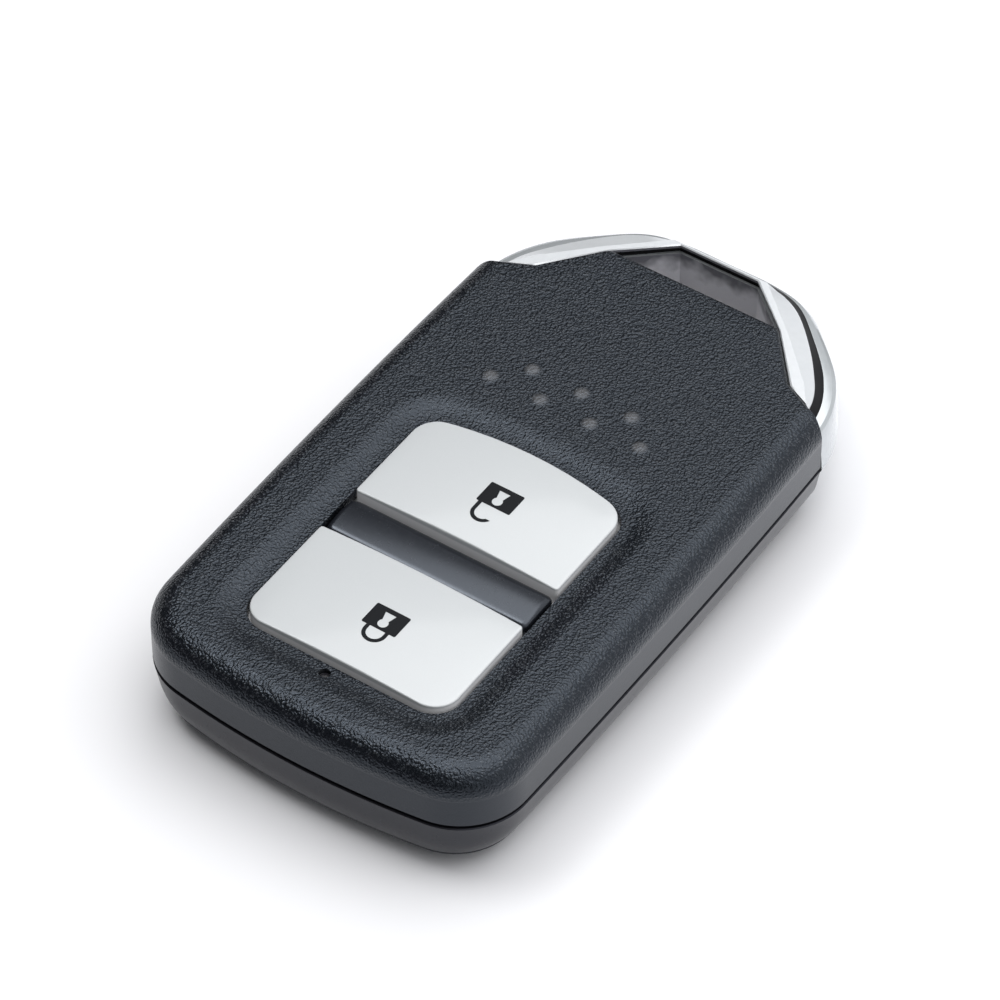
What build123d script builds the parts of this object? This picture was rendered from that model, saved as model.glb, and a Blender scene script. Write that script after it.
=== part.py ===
from build123d import *
import os

# A two-button car key fob that lies on its back, in millimetres.
# X runs across the fob, Y from the near end to the key loop, Z up. Z = 0 is the lowest point.

os.makedirs("parts", exist_ok=True)

# Overall plan
fob_length = 73.2
case_width = 39.4
near_end_taper = 0.8
shoulder_taper = 0.7
near_bow = 2.0
near_corner_radius = 7.0
widest_from_near = 31.6
shoulder_from_far = 16.95
notch_from_shoulder = 5.35
notch_from_far = 14.4
nose_from_notch = 4.6
nose_from_far = 8.75
nose_corner_radius = 1.2

near_end_width = case_width - near_end_taper
shoulder_width = case_width - shoulder_taper
notch_width = shoulder_width - 2 * notch_from_shoulder
nose_width = notch_width - 2 * nose_from_notch
side_x = case_width / 2
near_y = -fob_length / 2
far_y = fob_length / 2
widest_y = near_y + widest_from_near
shoulder_y = far_y - shoulder_from_far
notch_y = far_y - notch_from_far
nose_y = far_y - nose_from_far

# Heights of the case
top_height = 13.1
seam_height = 7.0
seam_gap_height = 0.35
seam_gap_depth = 0.45
wall = 1.6
top_wall = 1.6
floor_thickness = 1.5
edge_radius = 2.6
nose_edge_radius = 0.5
nose_top_thickness = 2.9
nose_floor_top = 1.8
slide_gap = 0.15
overrun = 5.0

ceiling = top_height - top_wall
nose_underside = top_height - nose_top_thickness

# Joint between the two case halves
lip_height = 1.2
lip_thickness = 0.7
lip_overlap = 0.15
lip_gap = 0.1
seal_thickness = 0.18
seal_gap = 0.02

# Belly of the lower case: height above the ground, side and near-end insets there
belly_levels = [
    (0.0, 4.4, 3.0),
    (0.6, 3.0, 1.9),
    (1.6, 1.8, 1.1),
    (3.4, 0.7, 0.4),
    (seam_height - seam_gap_height, 0.0, 0.0),
]
cavity_levels = [
    (floor_thickness, 4.2, 3.6),
    (3.2, 2.6, 2.4),
    (5.2, 1.9, 1.8),
    (seam_height, wall, wall),
]

# Button field: one opening that holds both buttons and the bar between them
field_width = 21.9
field_near_from_end = 7.3
field_far_from_end = 37.55
field_far_bow = 1.2
field_corner_radius = 2.6
bar_near_from_end = 19.95
bar_width = 5.25
window_gap = 0.25
bar_gap = 0.2

field_near_y = near_y + field_near_from_end
field_far_y = near_y + field_far_from_end
bar_near_y = near_y + bar_near_from_end
bar_far_y = bar_near_y + bar_width

# Dish pressed into the top round the field: how far it reaches and how deep it is there
dish_steps = [(3.0, 0.0), (2.5, 0.06), (1.9, 0.22), (1.3, 0.42), (0.7, 0.52), (0.0, 0.55)]

# Buttons
button_edge_height = 0.2
button_crown = 0.3
button_edge_radius = 0.3
button_travel = 0.45
flange_reach = 0.55
flange_thickness = 0.65
flange_gap = 0.3
symbol_depth = 0.25
symbol_proud = 0.02

button_edge_z = top_height + button_edge_height
button_top_z = button_edge_z + button_crown
flange_top = ceiling - flange_gap
button_bottom = flange_top - flange_thickness

# Bar between the buttons
bar_height_below_top = 0.2
bar_edge_radius = 0.7
bar_tab_reach = 0.75
bar_tab_thickness = 0.6
bar_tab_length = 3.4

# Rubber membrane under the buttons, and the skirt that carries it
skirt_gap = 0.35
skirt_thickness = 0.8
skirt_height = 1.15
membrane_thickness = 0.6
membrane_pad_height = 0.15
membrane_pad_width = 12.0
membrane_pad_length = 6.0
membrane_post_radius = 1.4
contact_gap = 0.1

skirt_bottom = ceiling - skirt_height

# Raised dots beyond the buttons, in two rows
dot_radius = 0.85
dot_height = 0.28
dot_pitch = 5.46
dot_centre_x = -0.9
dot_row_counts = [4, 3]
dot_rows_from_end = [44.1, 46.9]

# Indicator light
light_x = -0.6
light_from_end = 5.95
light_radius = 0.5
light_hole_gap = 0.05
light_flange_radius = 0.85
light_flange_thickness = 0.8
light_recess = 0.3
light_above_board = 1.2
led_length = 1.6
led_width = 0.9
led_height = 0.7

light_y = near_y + light_from_end

# Emergency key: tongue, blade and pin
tongue_width = 11.0
tongue_thickness = 2.6
tongue_from_far = 24.6
blade_width = 6.6
blade_thickness = 2.2
blade_root_from_far = 20.1
blade_tip_from_near = 9.6
blade_tip_length = 3.2
blade_tip_width = 2.2
groove_width = 1.3
groove_depth = 0.5
groove_offset = 1.0
groove_end_margin = 7.0
pin_radius = 0.75
pin_from_far = 22.4
latch_notch_depth = 1.0
latch_notch_length = 2.4

# Release latch on the back
latch_plate_gap = 0.05
latch_plate_thickness = 0.8
latch_width = 5.0
latch_from_far = 21.85
latch_travel = 2.0
latch_pad_half = 4.0
latch_pad_recess = 0.2
latch_left = 4.6
latch_right = 9.4
latch_gap = 0.15
latch_rib_pitch = 1.5
latch_rib_width = 0.6
latch_rib_depth = 0.3
latch_post_thickness = 1.2
latch_post_length = 1.9
latch_post_height = 2.4
latch_nib_height = 1.5
guide_rib_width = 0.8
guide_rib_height = 1.0
spring_radius = 0.9
spring_wire_radius = 0.15
spring_length = 4.0
spring_turns = 6
spring_end_gap = 0.02
spring_wall_thickness = 1.0
spring_wall_width = 2.4
spring_wall_height = 3.2

tongue_bottom = floor_thickness + latch_plate_gap + latch_plate_thickness + slide_gap
tongue_top = tongue_bottom + tongue_thickness
tongue_middle = tongue_bottom + tongue_thickness / 2
tongue_y = far_y - tongue_from_far
latch_y = far_y - latch_from_far
pin_y = far_y - pin_from_far
blade_root_y = far_y - blade_root_from_far
blade_tip_y = near_y + blade_tip_from_near

# Blade channel under the circuit board
channel_gap = 0.25
channel_wall = 1.2
channel_end_gap = 1.2
channel_end_wall = 1.0
channel_cover_thickness = 0.6

channel_top = tongue_top + channel_gap
channel_far_y = tongue_y - channel_gap - guide_rib_width
channel_near_y = blade_tip_y - channel_end_gap
channel_half = blade_width / 2 + channel_gap

# Circuit board and its supports
board_thickness = 1.0
board_inset = 2.4
board_hole_gap = 0.1
boss_radius = 1.6
boss_pin_radius = 0.6
boss_pin_height = 1.4
boss_near_from_side = 6.5
boss_near_from_end = 9.2
boss_far_from_side = 5.5
boss_far_from_far = 22.8
boss_start = 1.3
cavity_far_wall = 1.35
board_far_gap = 0.4

board_bottom = channel_top + channel_cover_thickness
board_top = board_bottom + board_thickness
cavity_far_y = shoulder_y - cavity_far_wall
board_far_y = cavity_far_y - board_far_gap
boss_places = [(side * (side_x - from_side), y) for side in (-1, 1)
               for from_side, y in ((boss_near_from_side, near_y + boss_near_from_end),
                                    (boss_far_from_side, far_y - boss_far_from_far))]

# Coin cell, its holder and its contacts
cell_radius = 10.0
cell_height = 2.5
cell_can_height = 2.0
cell_cap_radius = 8.8
cell_from_far = 30.0
contact_thickness = 0.25
contact_width = 4.0
holder_gap = 0.15
holder_wall = 1.0
holder_height = 2.2
holder_slot_width = 6.0
strap_width = 4.4
strap_thickness = 0.3
strap_reach = 8.6
strap_gap = 0.1

cell_y = far_y - cell_from_far
cell_bottom = board_top + contact_thickness
cell_top = cell_bottom + cell_height

# Push switches on the board
switch_length = 4.0
switch_width = 3.0
switch_height = 1.6
stem_radius = 0.9
stem_gap = 0.05
stem_rise = 0.55
stem_depth = 0.55
unlock_switch_from_end = 29.9
lock_switch_from_end = 14.2

stem_top = board_top + switch_height + stem_rise
stem_bottom = board_top + switch_height - stem_depth
stem_well_bottom = stem_bottom - button_travel - stem_gap

# Electronic parts: distance from the case's side and from its near end, and size along
# X, Y and Z. The chips lie along the left side, the rest along the right side.
controller_from = (10.7, 13.6)
controller_size = (7.0, 7.0, 1.0)
radio_from = (8.7, 24.0)
radio_size = (5.0, 5.0, 0.9)
crystal_from = (11.1, 26.8)
crystal_size = (3.2, 2.5, 0.8)
antenna_from = (5.3, 18.0)
antenna_width = 3.4
antenna_length = 11.0
antenna_height = 2.6
antenna_end = 1.6
antenna_bar_width = 2.0
antenna_bar_height = 1.4
winding_thickness = 0.5
capacitor_size = (0.8, 1.6, 0.8)
capacitor_rows = 4
capacitor_columns = 2
capacitor_pitch = (2.0, 3.0)
capacitors_from = (12.1, 7.6)

controller_place = (controller_from[0] - side_x, near_y + controller_from[1])
radio_place = (radio_from[0] - side_x, near_y + radio_from[1])
crystal_place = (side_x - crystal_from[0], near_y + crystal_from[1])
antenna_place = (side_x - antenna_from[0], near_y + antenna_from[1])

# Key head: loop of chromed metal, black inlay and bright cover plate.
# Stations along the right half of the loop: place and outward direction.
head_start_taper = 0.3
station_x_shares = [0.987, 0.863, 0.651, 0.4755, 0.2584, 0.0]
stations_from_far = [14.9, 9.5, 4.4, 1.75, 0.3, 0.0]
outward_shares = [(0.99, 0.12), (0.85, 0.53), (0.72, 0.69), (0.50, 0.87), (0.15, 0.99), (0, 1)]
# Insets at those stations for each edge of the head
rim_insets = [0.5, 0.42, 1.15, 1.45, 2.05, 2.3]
inlay_foot_insets = [1.62, 1.55, 1.99, 1.95, 2.3, 2.5]
plate_edge_insets = [2.28, 2.54, 2.84, 3.06, 3.5, 3.6]
head_under_insets = [4.6, 3.3, 2.7, 2.4, 2.3, 2.3]
frame_top = 10.95
inlay_top = 11.9
plate_edge_top = 12.2
plate_top = 12.7
land_width = 0.6
far_land_width = 0.25
frame_bottom = 0.9
frame_widest = 6.4
frame_low = 4.4
frame_lower = 2.4
frame_shoulder = 8.0
frame_upper = 9.4
frame_rim = 10.7
frame_low_share = 0.2
frame_lower_share = 0.55
frame_shoulder_share = 0.25
frame_upper_share = 0.52
hole_corner_from_nose = 5.1
hole_far_from_far = 4.3
inlay_recess = 0.3

hole_width = nose_width - 2 * hole_corner_from_nose
hole_far_y = far_y - hole_far_from_far
head_start_x = (shoulder_width - head_start_taper) / 2
head_stations = [(shoulder_width / 2 * x_share, far_y - from_far, nx, ny)
                 for x_share, from_far, (nx, ny)
                 in zip(station_x_shares, stations_from_far, outward_shares)]

# Padlock symbols
symbol_x = 0.7
lock_symbol_from_end = 13.5
unlock_symbol_from_end = 31.35
symbol_width = 3.6
symbol_height = 2.6
symbol_corner = 0.15
shackle_radius = 1.2
shackle_thickness = 0.38
shackle_leg = 0.45
open_shackle_leg = 1.0
open_shackle_shift = 0.3
open_shackle_end = 0.55
keyhole_radius = 0.5
keyhole_neck = 0.45
keyhole_flare_length = 1.28
keyhole_flare_width = 1.15
keyhole_from_middle = 0.5


def block(x0, x1, y0, y1, z0, z1):
    size = Box(x1 - x0, y1 - y0, z1 - z0)
    return Pos((x0 + x1) / 2, (y0 + y1) / 2, (z0 + z1) / 2) * size


def rod(x, y, z0, z1, radius):
    return Pos(x, y, (z0 + z1) / 2) * Cylinder(radius, z1 - z0)


def edges_at(solid, z):
    """The edges that lie level at a height, to within the fit gap."""
    level = []
    for edge in solid.edges():
        box = edge.bounding_box()
        if box.min.Z > z - slide_gap and box.max.Z < z + slide_gap:
            level.append(edge)
    return ShapeList(level)


def raised(face, z0, z1):
    return Pos(0, 0, z0) * extrude(face, z1 - z0, dir=(0, 0, 1))


def face_within(curves):
    """The flat face inside a closed run of lines and arcs."""
    return Face(Wire([edge for curve in curves for edge in curve.edges()]))


def round_places(face, places, radius):
    picked = [face.vertices().sort_by_distance((x, y, 0))[0] for x, y in places]
    return face.fillet_2d(radius, picked)


def near_and_sides(side_inset, end_inset, side_end_y):
    """Near end and both sides of the case, as edges from the right side's far end
    round the near end to the left side's far end."""
    corner_x = near_end_width / 2 - side_inset
    corner_y = near_y + near_bow + end_inset
    widest_x = case_width / 2 - side_inset
    end_x = shoulder_width / 2 - side_inset
    return [
        ThreePointArc((end_x, side_end_y), (widest_x, widest_y), (corner_x, corner_y)),
        ThreePointArc((corner_x, corner_y), (0, near_y + end_inset), (-corner_x, corner_y)),
        ThreePointArc((-corner_x, corner_y), (-widest_x, widest_y), (-end_x, side_end_y)),
    ]


def round_near_corners(face, side_inset, end_inset):
    corner_x = near_end_width / 2 - side_inset
    corner_y = near_y + near_bow + end_inset
    radius = near_corner_radius - min(side_inset, end_inset)
    return round_places(face, [(corner_x, corner_y), (-corner_x, corner_y)], radius)


def box_plan(inset, far_line_y):
    """Plan of the case's box, closed by a straight far side."""
    end_x = shoulder_width / 2 - inset
    edges = near_and_sides(inset, inset, far_line_y)
    edges.append(Line((-end_x, far_line_y), (end_x, far_line_y)))
    return round_near_corners(face_within(edges), inset, inset)


def belly_plan(side_inset, end_inset, far_line_y):
    """Plan of the lower case at one level: its insets differ at the sides and the end."""
    end_x = shoulder_width / 2 - side_inset
    edges = near_and_sides(side_inset, end_inset, shoulder_y)
    edges.append(Polyline((-end_x, shoulder_y), (-end_x, far_line_y), (end_x, far_line_y),
                          (end_x, shoulder_y)))
    return round_near_corners(face_within(edges), side_inset, end_inset)


def nose_line(gap):
    """Edge between the case and the key head, as points from left to right."""
    right = [
        (shoulder_width / 2 + gap, shoulder_y + gap),
        (notch_width / 2 + gap, notch_y + gap),
        (nose_width / 2 + gap, nose_y),
    ]
    left = [(-x, y) for x, y in right]
    return left + right[::-1]


def case_plan():
    edges = near_and_sides(0, 0, shoulder_y) + [Polyline(*nose_line(0))]
    face = round_near_corners(face_within(edges), 0, 0)
    corners = [(-nose_width / 2, nose_y), (nose_width / 2, nose_y)]
    return round_places(face, corners, nose_corner_radius)


def behind_nose(gap):
    """Everything on the case's side of the key head, for cutting the head."""
    back = near_y
    outer = case_width
    points = [(-outer, back), (-outer, shoulder_y + gap)] + nose_line(gap)
    points += [(outer, shoulder_y + gap), (outer, back)]
    return face_within([Polyline(*points, close=True)])


def beyond_nose():
    """Everything on the key head's side of the case's edge, for cutting the lower case."""
    outer = case_width
    points = [(-outer, shoulder_y)] + nose_line(0)
    points += [(outer, shoulder_y), (outer, far_y), (-outer, far_y)]
    return face_within([Polyline(*points, close=True)])


def field_plan(grow):
    """The button field's outline, grown outwards."""
    x = field_width / 2 + grow
    y_near = field_near_y - grow
    y_side = field_far_y - field_far_bow + grow
    edges = [
        Polyline((-x, y_side), (-x, y_near), (x, y_near), (x, y_side)),
        ThreePointArc((x, y_side), (0, field_far_y + grow), (-x, y_side)),
    ]
    corners = [(-x, y_near), (x, y_near), (x, y_side), (-x, y_side)]
    return round_places(face_within(edges), corners, field_corner_radius + grow)


def field_part(grow, y0, y1, z0, z1):
    """A slab of the grown field between two lines across it."""
    x = field_width / 2 + grow
    return raised(field_plan(grow), z0, z1) & block(-x, x, y0, y1, z0, z1)


def head_plan(insets):
    """Plan of the key head inside its widest outline, open towards the case."""
    right = []
    for (x, y, nx, ny), inset in zip(head_stations, insets):
        right.append((x - nx * inset, y - ny * inset))
    right.insert(0, (head_start_x - insets[0], shoulder_y - overrun))
    left = [(-x, y) for x, y in right[:-1]]
    points = right + left[::-1]
    return face_within([Spline(*points), Line(points[-1], points[0])])


def head_hole_plan(grow):
    x_near = nose_width / 2 + slide_gap + grow
    x_far = hole_width / 2 + grow
    y_near = nose_y - overrun
    points = [(-x_near, y_near), (-x_near, nose_y), (-x_far, hole_far_y + grow),
              (x_far, hole_far_y + grow), (x_near, nose_y), (x_near, y_near)]
    return face_within([Polyline(*points, close=True)])


def head_cut(grow, z0, z1):
    return raised(behind_nose(slide_gap), z0, z1) + raised(head_hole_plan(grow), z0, z1)


def scaled(insets, share):
    return [inset * share for inset in insets]


def dot_places():
    places = []
    for count, from_end in zip(dot_row_counts, dot_rows_from_end):
        for index in range(count):
            x = dot_centre_x + (index - (count - 1) / 2) * dot_pitch
            places.append((x, near_y + from_end))
    return places


def make_dots():
    """Round raised dots, as slices of spheres that start inside the top wall."""
    ball_radius = (dot_radius ** 2 + dot_height ** 2) / (2 * dot_height)
    centre_z = top_height + dot_height - ball_radius
    slab_bottom = top_height - dot_height
    dots = []
    for x, y in dot_places():
        slab = block(x - ball_radius, x + ball_radius, y - ball_radius, y + ball_radius,
                     slab_bottom, top_height + ball_radius)
        dots.append(Pos(x, y, centre_z) * Sphere(ball_radius) & slab)
    return dots


def make_dish():
    """The soft dish round the buttons, as the body that is cut away."""
    levels = [Pos(0, 0, top_height - depth) * field_plan(window_gap + reach)
              for reach, depth in dish_steps]
    lid = raised(field_plan(window_gap + dish_steps[0][0]), top_height, top_height + overrun)
    return loft(levels) + lid


def make_upper_case():
    shell = raised(case_plan(), seam_height, top_height)
    outer = [edge for edge in edges_at(shell, top_height) if edge.center().Y < shoulder_y]
    shell = fillet(outer, edge_radius)
    nose = [edge for edge in edges_at(shell, top_height)
            if edge.center().Y > nose_y - nose_corner_radius]
    shell = fillet(nose, nose_edge_radius)
    shell -= make_dish()
    for dot in make_dots():
        shell += dot
    shell -= raised(box_plan(wall, cavity_far_y), seam_height - overrun, ceiling)
    rebate_reach = lip_thickness + lip_gap
    rebate_top = seam_height + lip_height + seal_thickness + seal_gap
    shell -= raised(box_plan(wall - rebate_reach, cavity_far_y + rebate_reach),
                    seam_height - overrun, rebate_top)
    skirt = raised(field_plan(flange_reach + skirt_gap + skirt_thickness), skirt_bottom,
                   ceiling + slide_gap)
    shell += skirt
    shell -= raised(field_plan(flange_reach + skirt_gap), skirt_bottom - overrun, ceiling)
    shell -= raised(field_plan(window_gap), ceiling - overrun, top_height + overrun)
    x = case_width / 2
    shell -= block(-x, x, cavity_far_y + cavity_far_wall + wall, far_y,
                   seam_height - overrun, nose_underside)
    shell -= rod(light_x, light_y, ceiling, top_height, light_radius + light_hole_gap)
    shell -= rod(light_x, light_y, skirt_bottom, ceiling, light_flange_radius + slide_gap)
    return shell


def make_boss(x, y):
    boss = rod(x, y, boss_start, board_bottom, boss_radius)
    return boss + rod(x, y, board_bottom, board_bottom + boss_pin_height, boss_pin_radius)


def make_channel():
    """Walls on the floor that guide the key blade."""
    x = channel_half + channel_wall
    bottom = floor_thickness
    outer = block(-x, x, channel_near_y - channel_end_wall, channel_far_y, bottom, channel_top)
    inner = block(-channel_half, channel_half, channel_near_y, channel_far_y, bottom, channel_top)
    return outer - inner


def make_latch_seat():
    """Ribs beside the latch plate and the wall that its spring pushes on."""
    half = latch_width / 2 + latch_gap
    top = floor_thickness + guide_rib_height
    x0 = -latch_left - latch_gap
    x1 = latch_right
    near = block(x0, x1, latch_y - half - guide_rib_width, latch_y - half, floor_thickness, top)
    far = block(x0, x1, latch_y + half, latch_y + half + guide_rib_width, floor_thickness, top)
    wall_x = latch_spring_end()
    post = block(wall_x, wall_x + spring_wall_thickness, latch_y - spring_wall_width / 2,
                 latch_y + spring_wall_width / 2, floor_thickness,
                 floor_thickness + spring_wall_height)
    return [near, far, post]


def lip_ring(z0, z1):
    """A ring on the lip's plan, which stands a little inside the cavity's wall."""
    ring = raised(box_plan(wall - lip_thickness, cavity_far_y + lip_thickness), z0, z1)
    return ring - raised(box_plan(wall + lip_overlap, cavity_far_y - lip_overlap), z0, z1)


def make_lower_case():
    far_line_y = nose_y + wall
    levels = [Pos(0, 0, z) * belly_plan(side, end, far_line_y) for z, side, end in belly_levels]
    shell = loft(levels) - raised(beyond_nose(), -overrun, seam_height)
    outer_top = seam_height - seam_gap_height
    shell += raised(box_plan(seam_gap_depth, shoulder_y - seam_gap_depth), outer_top, seam_height)
    shell -= loft([Pos(0, 0, z) * belly_plan(side, end, cavity_far_y) for z, side, end
                   in cavity_levels])
    shell += lip_ring(outer_top, seam_height + lip_height)
    x = case_width / 2
    shell -= block(-x, x, cavity_far_y + cavity_far_wall + wall, far_y, nose_floor_top,
                   top_height)
    for x, y in boss_places:
        shell += make_boss(x, y)
    shell += make_channel()
    for rib in make_latch_seat():
        shell += rib
    slot_half = tongue_width / 2 + channel_gap
    shell -= block(-slot_half, slot_half, cavity_far_y - overrun / 2, nose_y,
                   tongue_bottom - channel_gap, channel_top)
    window_near = latch_y - latch_width / 2 + latch_gap
    window_far = latch_y + latch_width / 2 - latch_gap
    shell -= block(-latch_pad_half - latch_gap, latch_pad_half + latch_travel + latch_gap,
                   window_near, window_far, -overrun, floor_thickness)
    return shell


def crown_body():
    """Everything under the buttons' crowned top, as a wide cylinder along Y."""
    half = field_width / 2
    radius = (half ** 2 + button_crown ** 2) / (2 * button_crown)
    y_middle = (near_y + far_y) / 2
    cylinder = Rot(90, 0, 0) * Cylinder(radius, fob_length)
    return Pos(0, y_middle, button_top_z - radius) * cylinder


def make_button(y0, y1, symbol):
    cap = field_part(0, y0, y1, flange_top, button_top_z + overrun) & crown_body()
    vertical = [edge for edge in cap.edges() if edge.center().Z > top_height]
    cap = fillet(vertical, button_edge_radius)
    reach = flange_reach
    cap += field_part(reach, y0 - reach, y1 + reach, button_bottom, flange_top)
    return cap - symbol


def padlock_outline(y_middle, is_open):
    """A padlock whose shackle points to the near end, as flat faces."""
    body = Pos(symbol_x, y_middle) * RectangleRounded(symbol_width, symbol_height, symbol_corner)
    hole_y = y_middle - keyhole_from_middle
    flare_y = hole_y + keyhole_flare_length
    flare = Polyline((symbol_x - keyhole_neck / 2, hole_y), (symbol_x + keyhole_neck / 2, hole_y),
                     (symbol_x + keyhole_flare_width / 2, flare_y),
                     (symbol_x - keyhole_flare_width / 2, flare_y), close=True)
    body -= Pos(symbol_x, hole_y) * Circle(keyhole_radius) + face_within([flare])
    x = symbol_x - (open_shackle_shift if is_open else 0)
    leg_y = y_middle - symbol_height / 2
    bend_y = leg_y - (open_shackle_leg if is_open else shackle_leg)
    ring = Pos(x, bend_y) * (Circle(shackle_radius)
                             - Circle(shackle_radius - shackle_thickness))
    reach = shackle_radius
    ring -= Pos(x, bend_y + reach / 2) * Rectangle(reach * 2, reach)
    if is_open:
        ring -= Pos(x + reach / 2, bend_y) * Rectangle(reach, open_shackle_end * 2)
    legs = [-1] if is_open else [-1, 1]
    for side in legs:
        leg_x = x + side * (shackle_radius - shackle_thickness / 2)
        ring += Pos(leg_x, (leg_y + bend_y) / 2) * Rectangle(shackle_thickness, leg_y - bend_y)
    return body + ring


def make_symbol(y_middle, is_open):
    """The symbol's ink, set a little way into the button and following its crown."""
    flat = padlock_outline(y_middle, is_open)
    column = raised(flat, button_edge_z - symbol_depth, button_top_z + symbol_depth)
    return column & (Pos(0, 0, symbol_proud) * crown_body())


def make_bar():
    y0 = bar_near_y + bar_gap
    y1 = bar_far_y - bar_gap
    bar = field_part(0, y0, y1, ceiling, top_height - bar_height_below_top)
    top_edges = [edge for edge in bar.edges()
                 if edge.center().Z > top_height - bar_height_below_top - bar_edge_radius / 4]
    bar = fillet(top_edges, bar_edge_radius)
    x1 = field_width / 2 + bar_tab_reach
    y_middle = (y0 + y1) / 2
    tab = block(-x1, x1, y_middle - bar_tab_length / 2, y_middle + bar_tab_length / 2,
                ceiling - bar_tab_thickness, ceiling)
    return bar + tab


def make_membrane():
    sheet_bottom = skirt_bottom - membrane_thickness
    grow = flange_reach + skirt_gap + skirt_thickness
    sheet = raised(field_plan(grow), sheet_bottom, skirt_bottom)
    for from_end in (unlock_switch_from_end, lock_switch_from_end):
        y = near_y + from_end
        sheet += block(-membrane_pad_width / 2, membrane_pad_width / 2,
                       y - membrane_pad_length / 2, y + membrane_pad_length / 2,
                       skirt_bottom, skirt_bottom + membrane_pad_height)
        sheet += rod(0, y, stem_top + contact_gap, sheet_bottom, membrane_post_radius)
    return sheet - rod(light_x, light_y, sheet_bottom, skirt_bottom,
                       light_flange_radius + slide_gap)


def make_light_pipe():
    pipe = rod(light_x, light_y, board_top + light_above_board,
               top_height - dish_steps[-1][1] - light_recess, light_radius)
    return pipe + rod(light_x, light_y, ceiling - light_flange_thickness, ceiling,
                      light_flange_radius)


def make_board():
    board = raised(box_plan(board_inset, board_far_y), board_bottom, board_top)
    for x, y in boss_places:
        board -= rod(x, y, board_bottom, board_top, boss_pin_radius + board_hole_gap)
    return board


def make_channel_cover():
    x = channel_half + channel_wall
    return block(-x, x, channel_near_y - channel_end_wall, channel_far_y, channel_top,
                 board_bottom)


def make_switch_body(from_end):
    y = near_y + from_end
    body = block(-switch_length / 2, switch_length / 2, y - switch_width / 2,
                 y + switch_width / 2, board_top, board_top + switch_height)
    return body - rod(0, y, stem_well_bottom, board_top + switch_height,
                      stem_radius + stem_gap)


def make_switch_stem(from_end):
    y = near_y + from_end
    return rod(0, y, stem_bottom, stem_top, stem_radius)


def make_led():
    return block(light_x - led_length / 2, light_x + led_length / 2, light_y - led_width / 2,
                 light_y + led_width / 2, board_top, board_top + led_height)


def make_cell():
    cap_height = cell_height - cell_can_height
    can = rod(0, cell_y, cell_bottom + cap_height, cell_top, cell_radius)
    return can + rod(0, cell_y, cell_bottom, cell_bottom + cap_height, cell_cap_radius)


def make_holder():
    inner = cell_radius + holder_gap
    outer = inner + holder_wall
    ring = rod(0, cell_y, board_top, board_top + holder_height, outer)
    ring -= rod(0, cell_y, board_top, board_top + holder_height, inner)
    half = holder_slot_width / 2
    return ring - block(-half, half, cell_y, cell_y + outer + overrun, board_top,
                        board_top + holder_height)


def make_negative_contact():
    half = cell_cap_radius - contact_width / 4
    plate = block(-half, half, cell_y - contact_width / 2, cell_y + contact_width / 2,
                  board_top, cell_bottom)
    return plate + block(-contact_width / 2, contact_width / 2, cell_y - half, cell_y + half,
                         board_top, cell_bottom)


def make_positive_contact():
    leg_y = cell_y + cell_radius + strap_gap
    half = strap_width / 2
    strap = block(-half, half, leg_y - strap_reach, leg_y + strap_thickness, cell_top,
                  cell_top + strap_thickness)
    return strap + block(-half, half, leg_y, leg_y + strap_thickness, board_top, cell_top)


def make_chip(place, size):
    x, y = place
    return block(x - size[0] / 2, x + size[0] / 2, y - size[1] / 2, y + size[1] / 2,
                 board_top, board_top + size[2])


def antenna_bar(grow):
    x, y = antenna_place
    reach = antenna_length / 2 - antenna_end
    z = board_top + antenna_height / 2
    half_width = antenna_bar_width / 2 + grow
    half_height = antenna_bar_height / 2 + grow
    return block(x - half_width, x + half_width, y - reach, y + reach, z - half_height,
                 z + half_height)


def make_antenna_core():
    x, y = antenna_place
    core = antenna_bar(0)
    for side in (-1, 1):
        middle = y + side * (antenna_length - antenna_end) / 2
        core += block(x - antenna_width / 2, x + antenna_width / 2, middle - antenna_end / 2,
                      middle + antenna_end / 2, board_top, board_top + antenna_height)
    return core


def make_capacitors():
    """A small array of separate chip capacitors."""
    pieces = []
    for row in range(capacitor_rows):
        for column in range(capacitor_columns):
            place = (side_x - capacitors_from[0] - column * capacitor_pitch[0],
                     near_y + capacitors_from[1] + row * capacitor_pitch[1])
            pieces.append(make_chip(place, capacitor_size))
    return Compound(children=[piece.solid() for piece in pieces])


def make_head_frame():
    """The chromed loop: rounded outside, cut to the case's nose and the ring hole."""
    under = head_under_insets
    over = rim_insets
    profile = [
        (frame_bottom, under),
        (frame_lower, scaled(under, frame_lower_share)),
        (frame_low, scaled(under, frame_low_share)),
        (frame_widest, scaled(under, 0)),
        (frame_shoulder, scaled(over, frame_shoulder_share)),
        (frame_upper, scaled(over, frame_upper_share)),
        (frame_rim, over),
    ]
    body = loft([Pos(0, 0, z) * head_plan(insets) for z, insets in profile])
    body += loft([Pos(0, 0, frame_rim) * head_plan(over),
                  Pos(0, 0, frame_top) * head_plan(inlay_foot_insets)])
    return body - head_cut(0, -overrun, top_height + overrun)


def make_head_inlay():
    body = loft([Pos(0, 0, frame_top) * head_plan(inlay_foot_insets),
                 Pos(0, 0, inlay_top) * head_plan(plate_edge_insets)])
    return body - head_cut(inlay_recess, -overrun, top_height + overrun)


def make_head_cover():
    """Cover plate: a narrow level land along the inner edge, then a wide bevel."""
    foot = raised(head_plan(plate_edge_insets), inlay_top, plate_edge_top)
    land = land_insets()
    bevel = loft([Pos(0, 0, plate_edge_top) * head_plan(plate_edge_insets),
                  Pos(0, 0, plate_top) * head_plan(land)])
    return foot + bevel - head_cut(0, -overrun, top_height + overrun)


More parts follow.
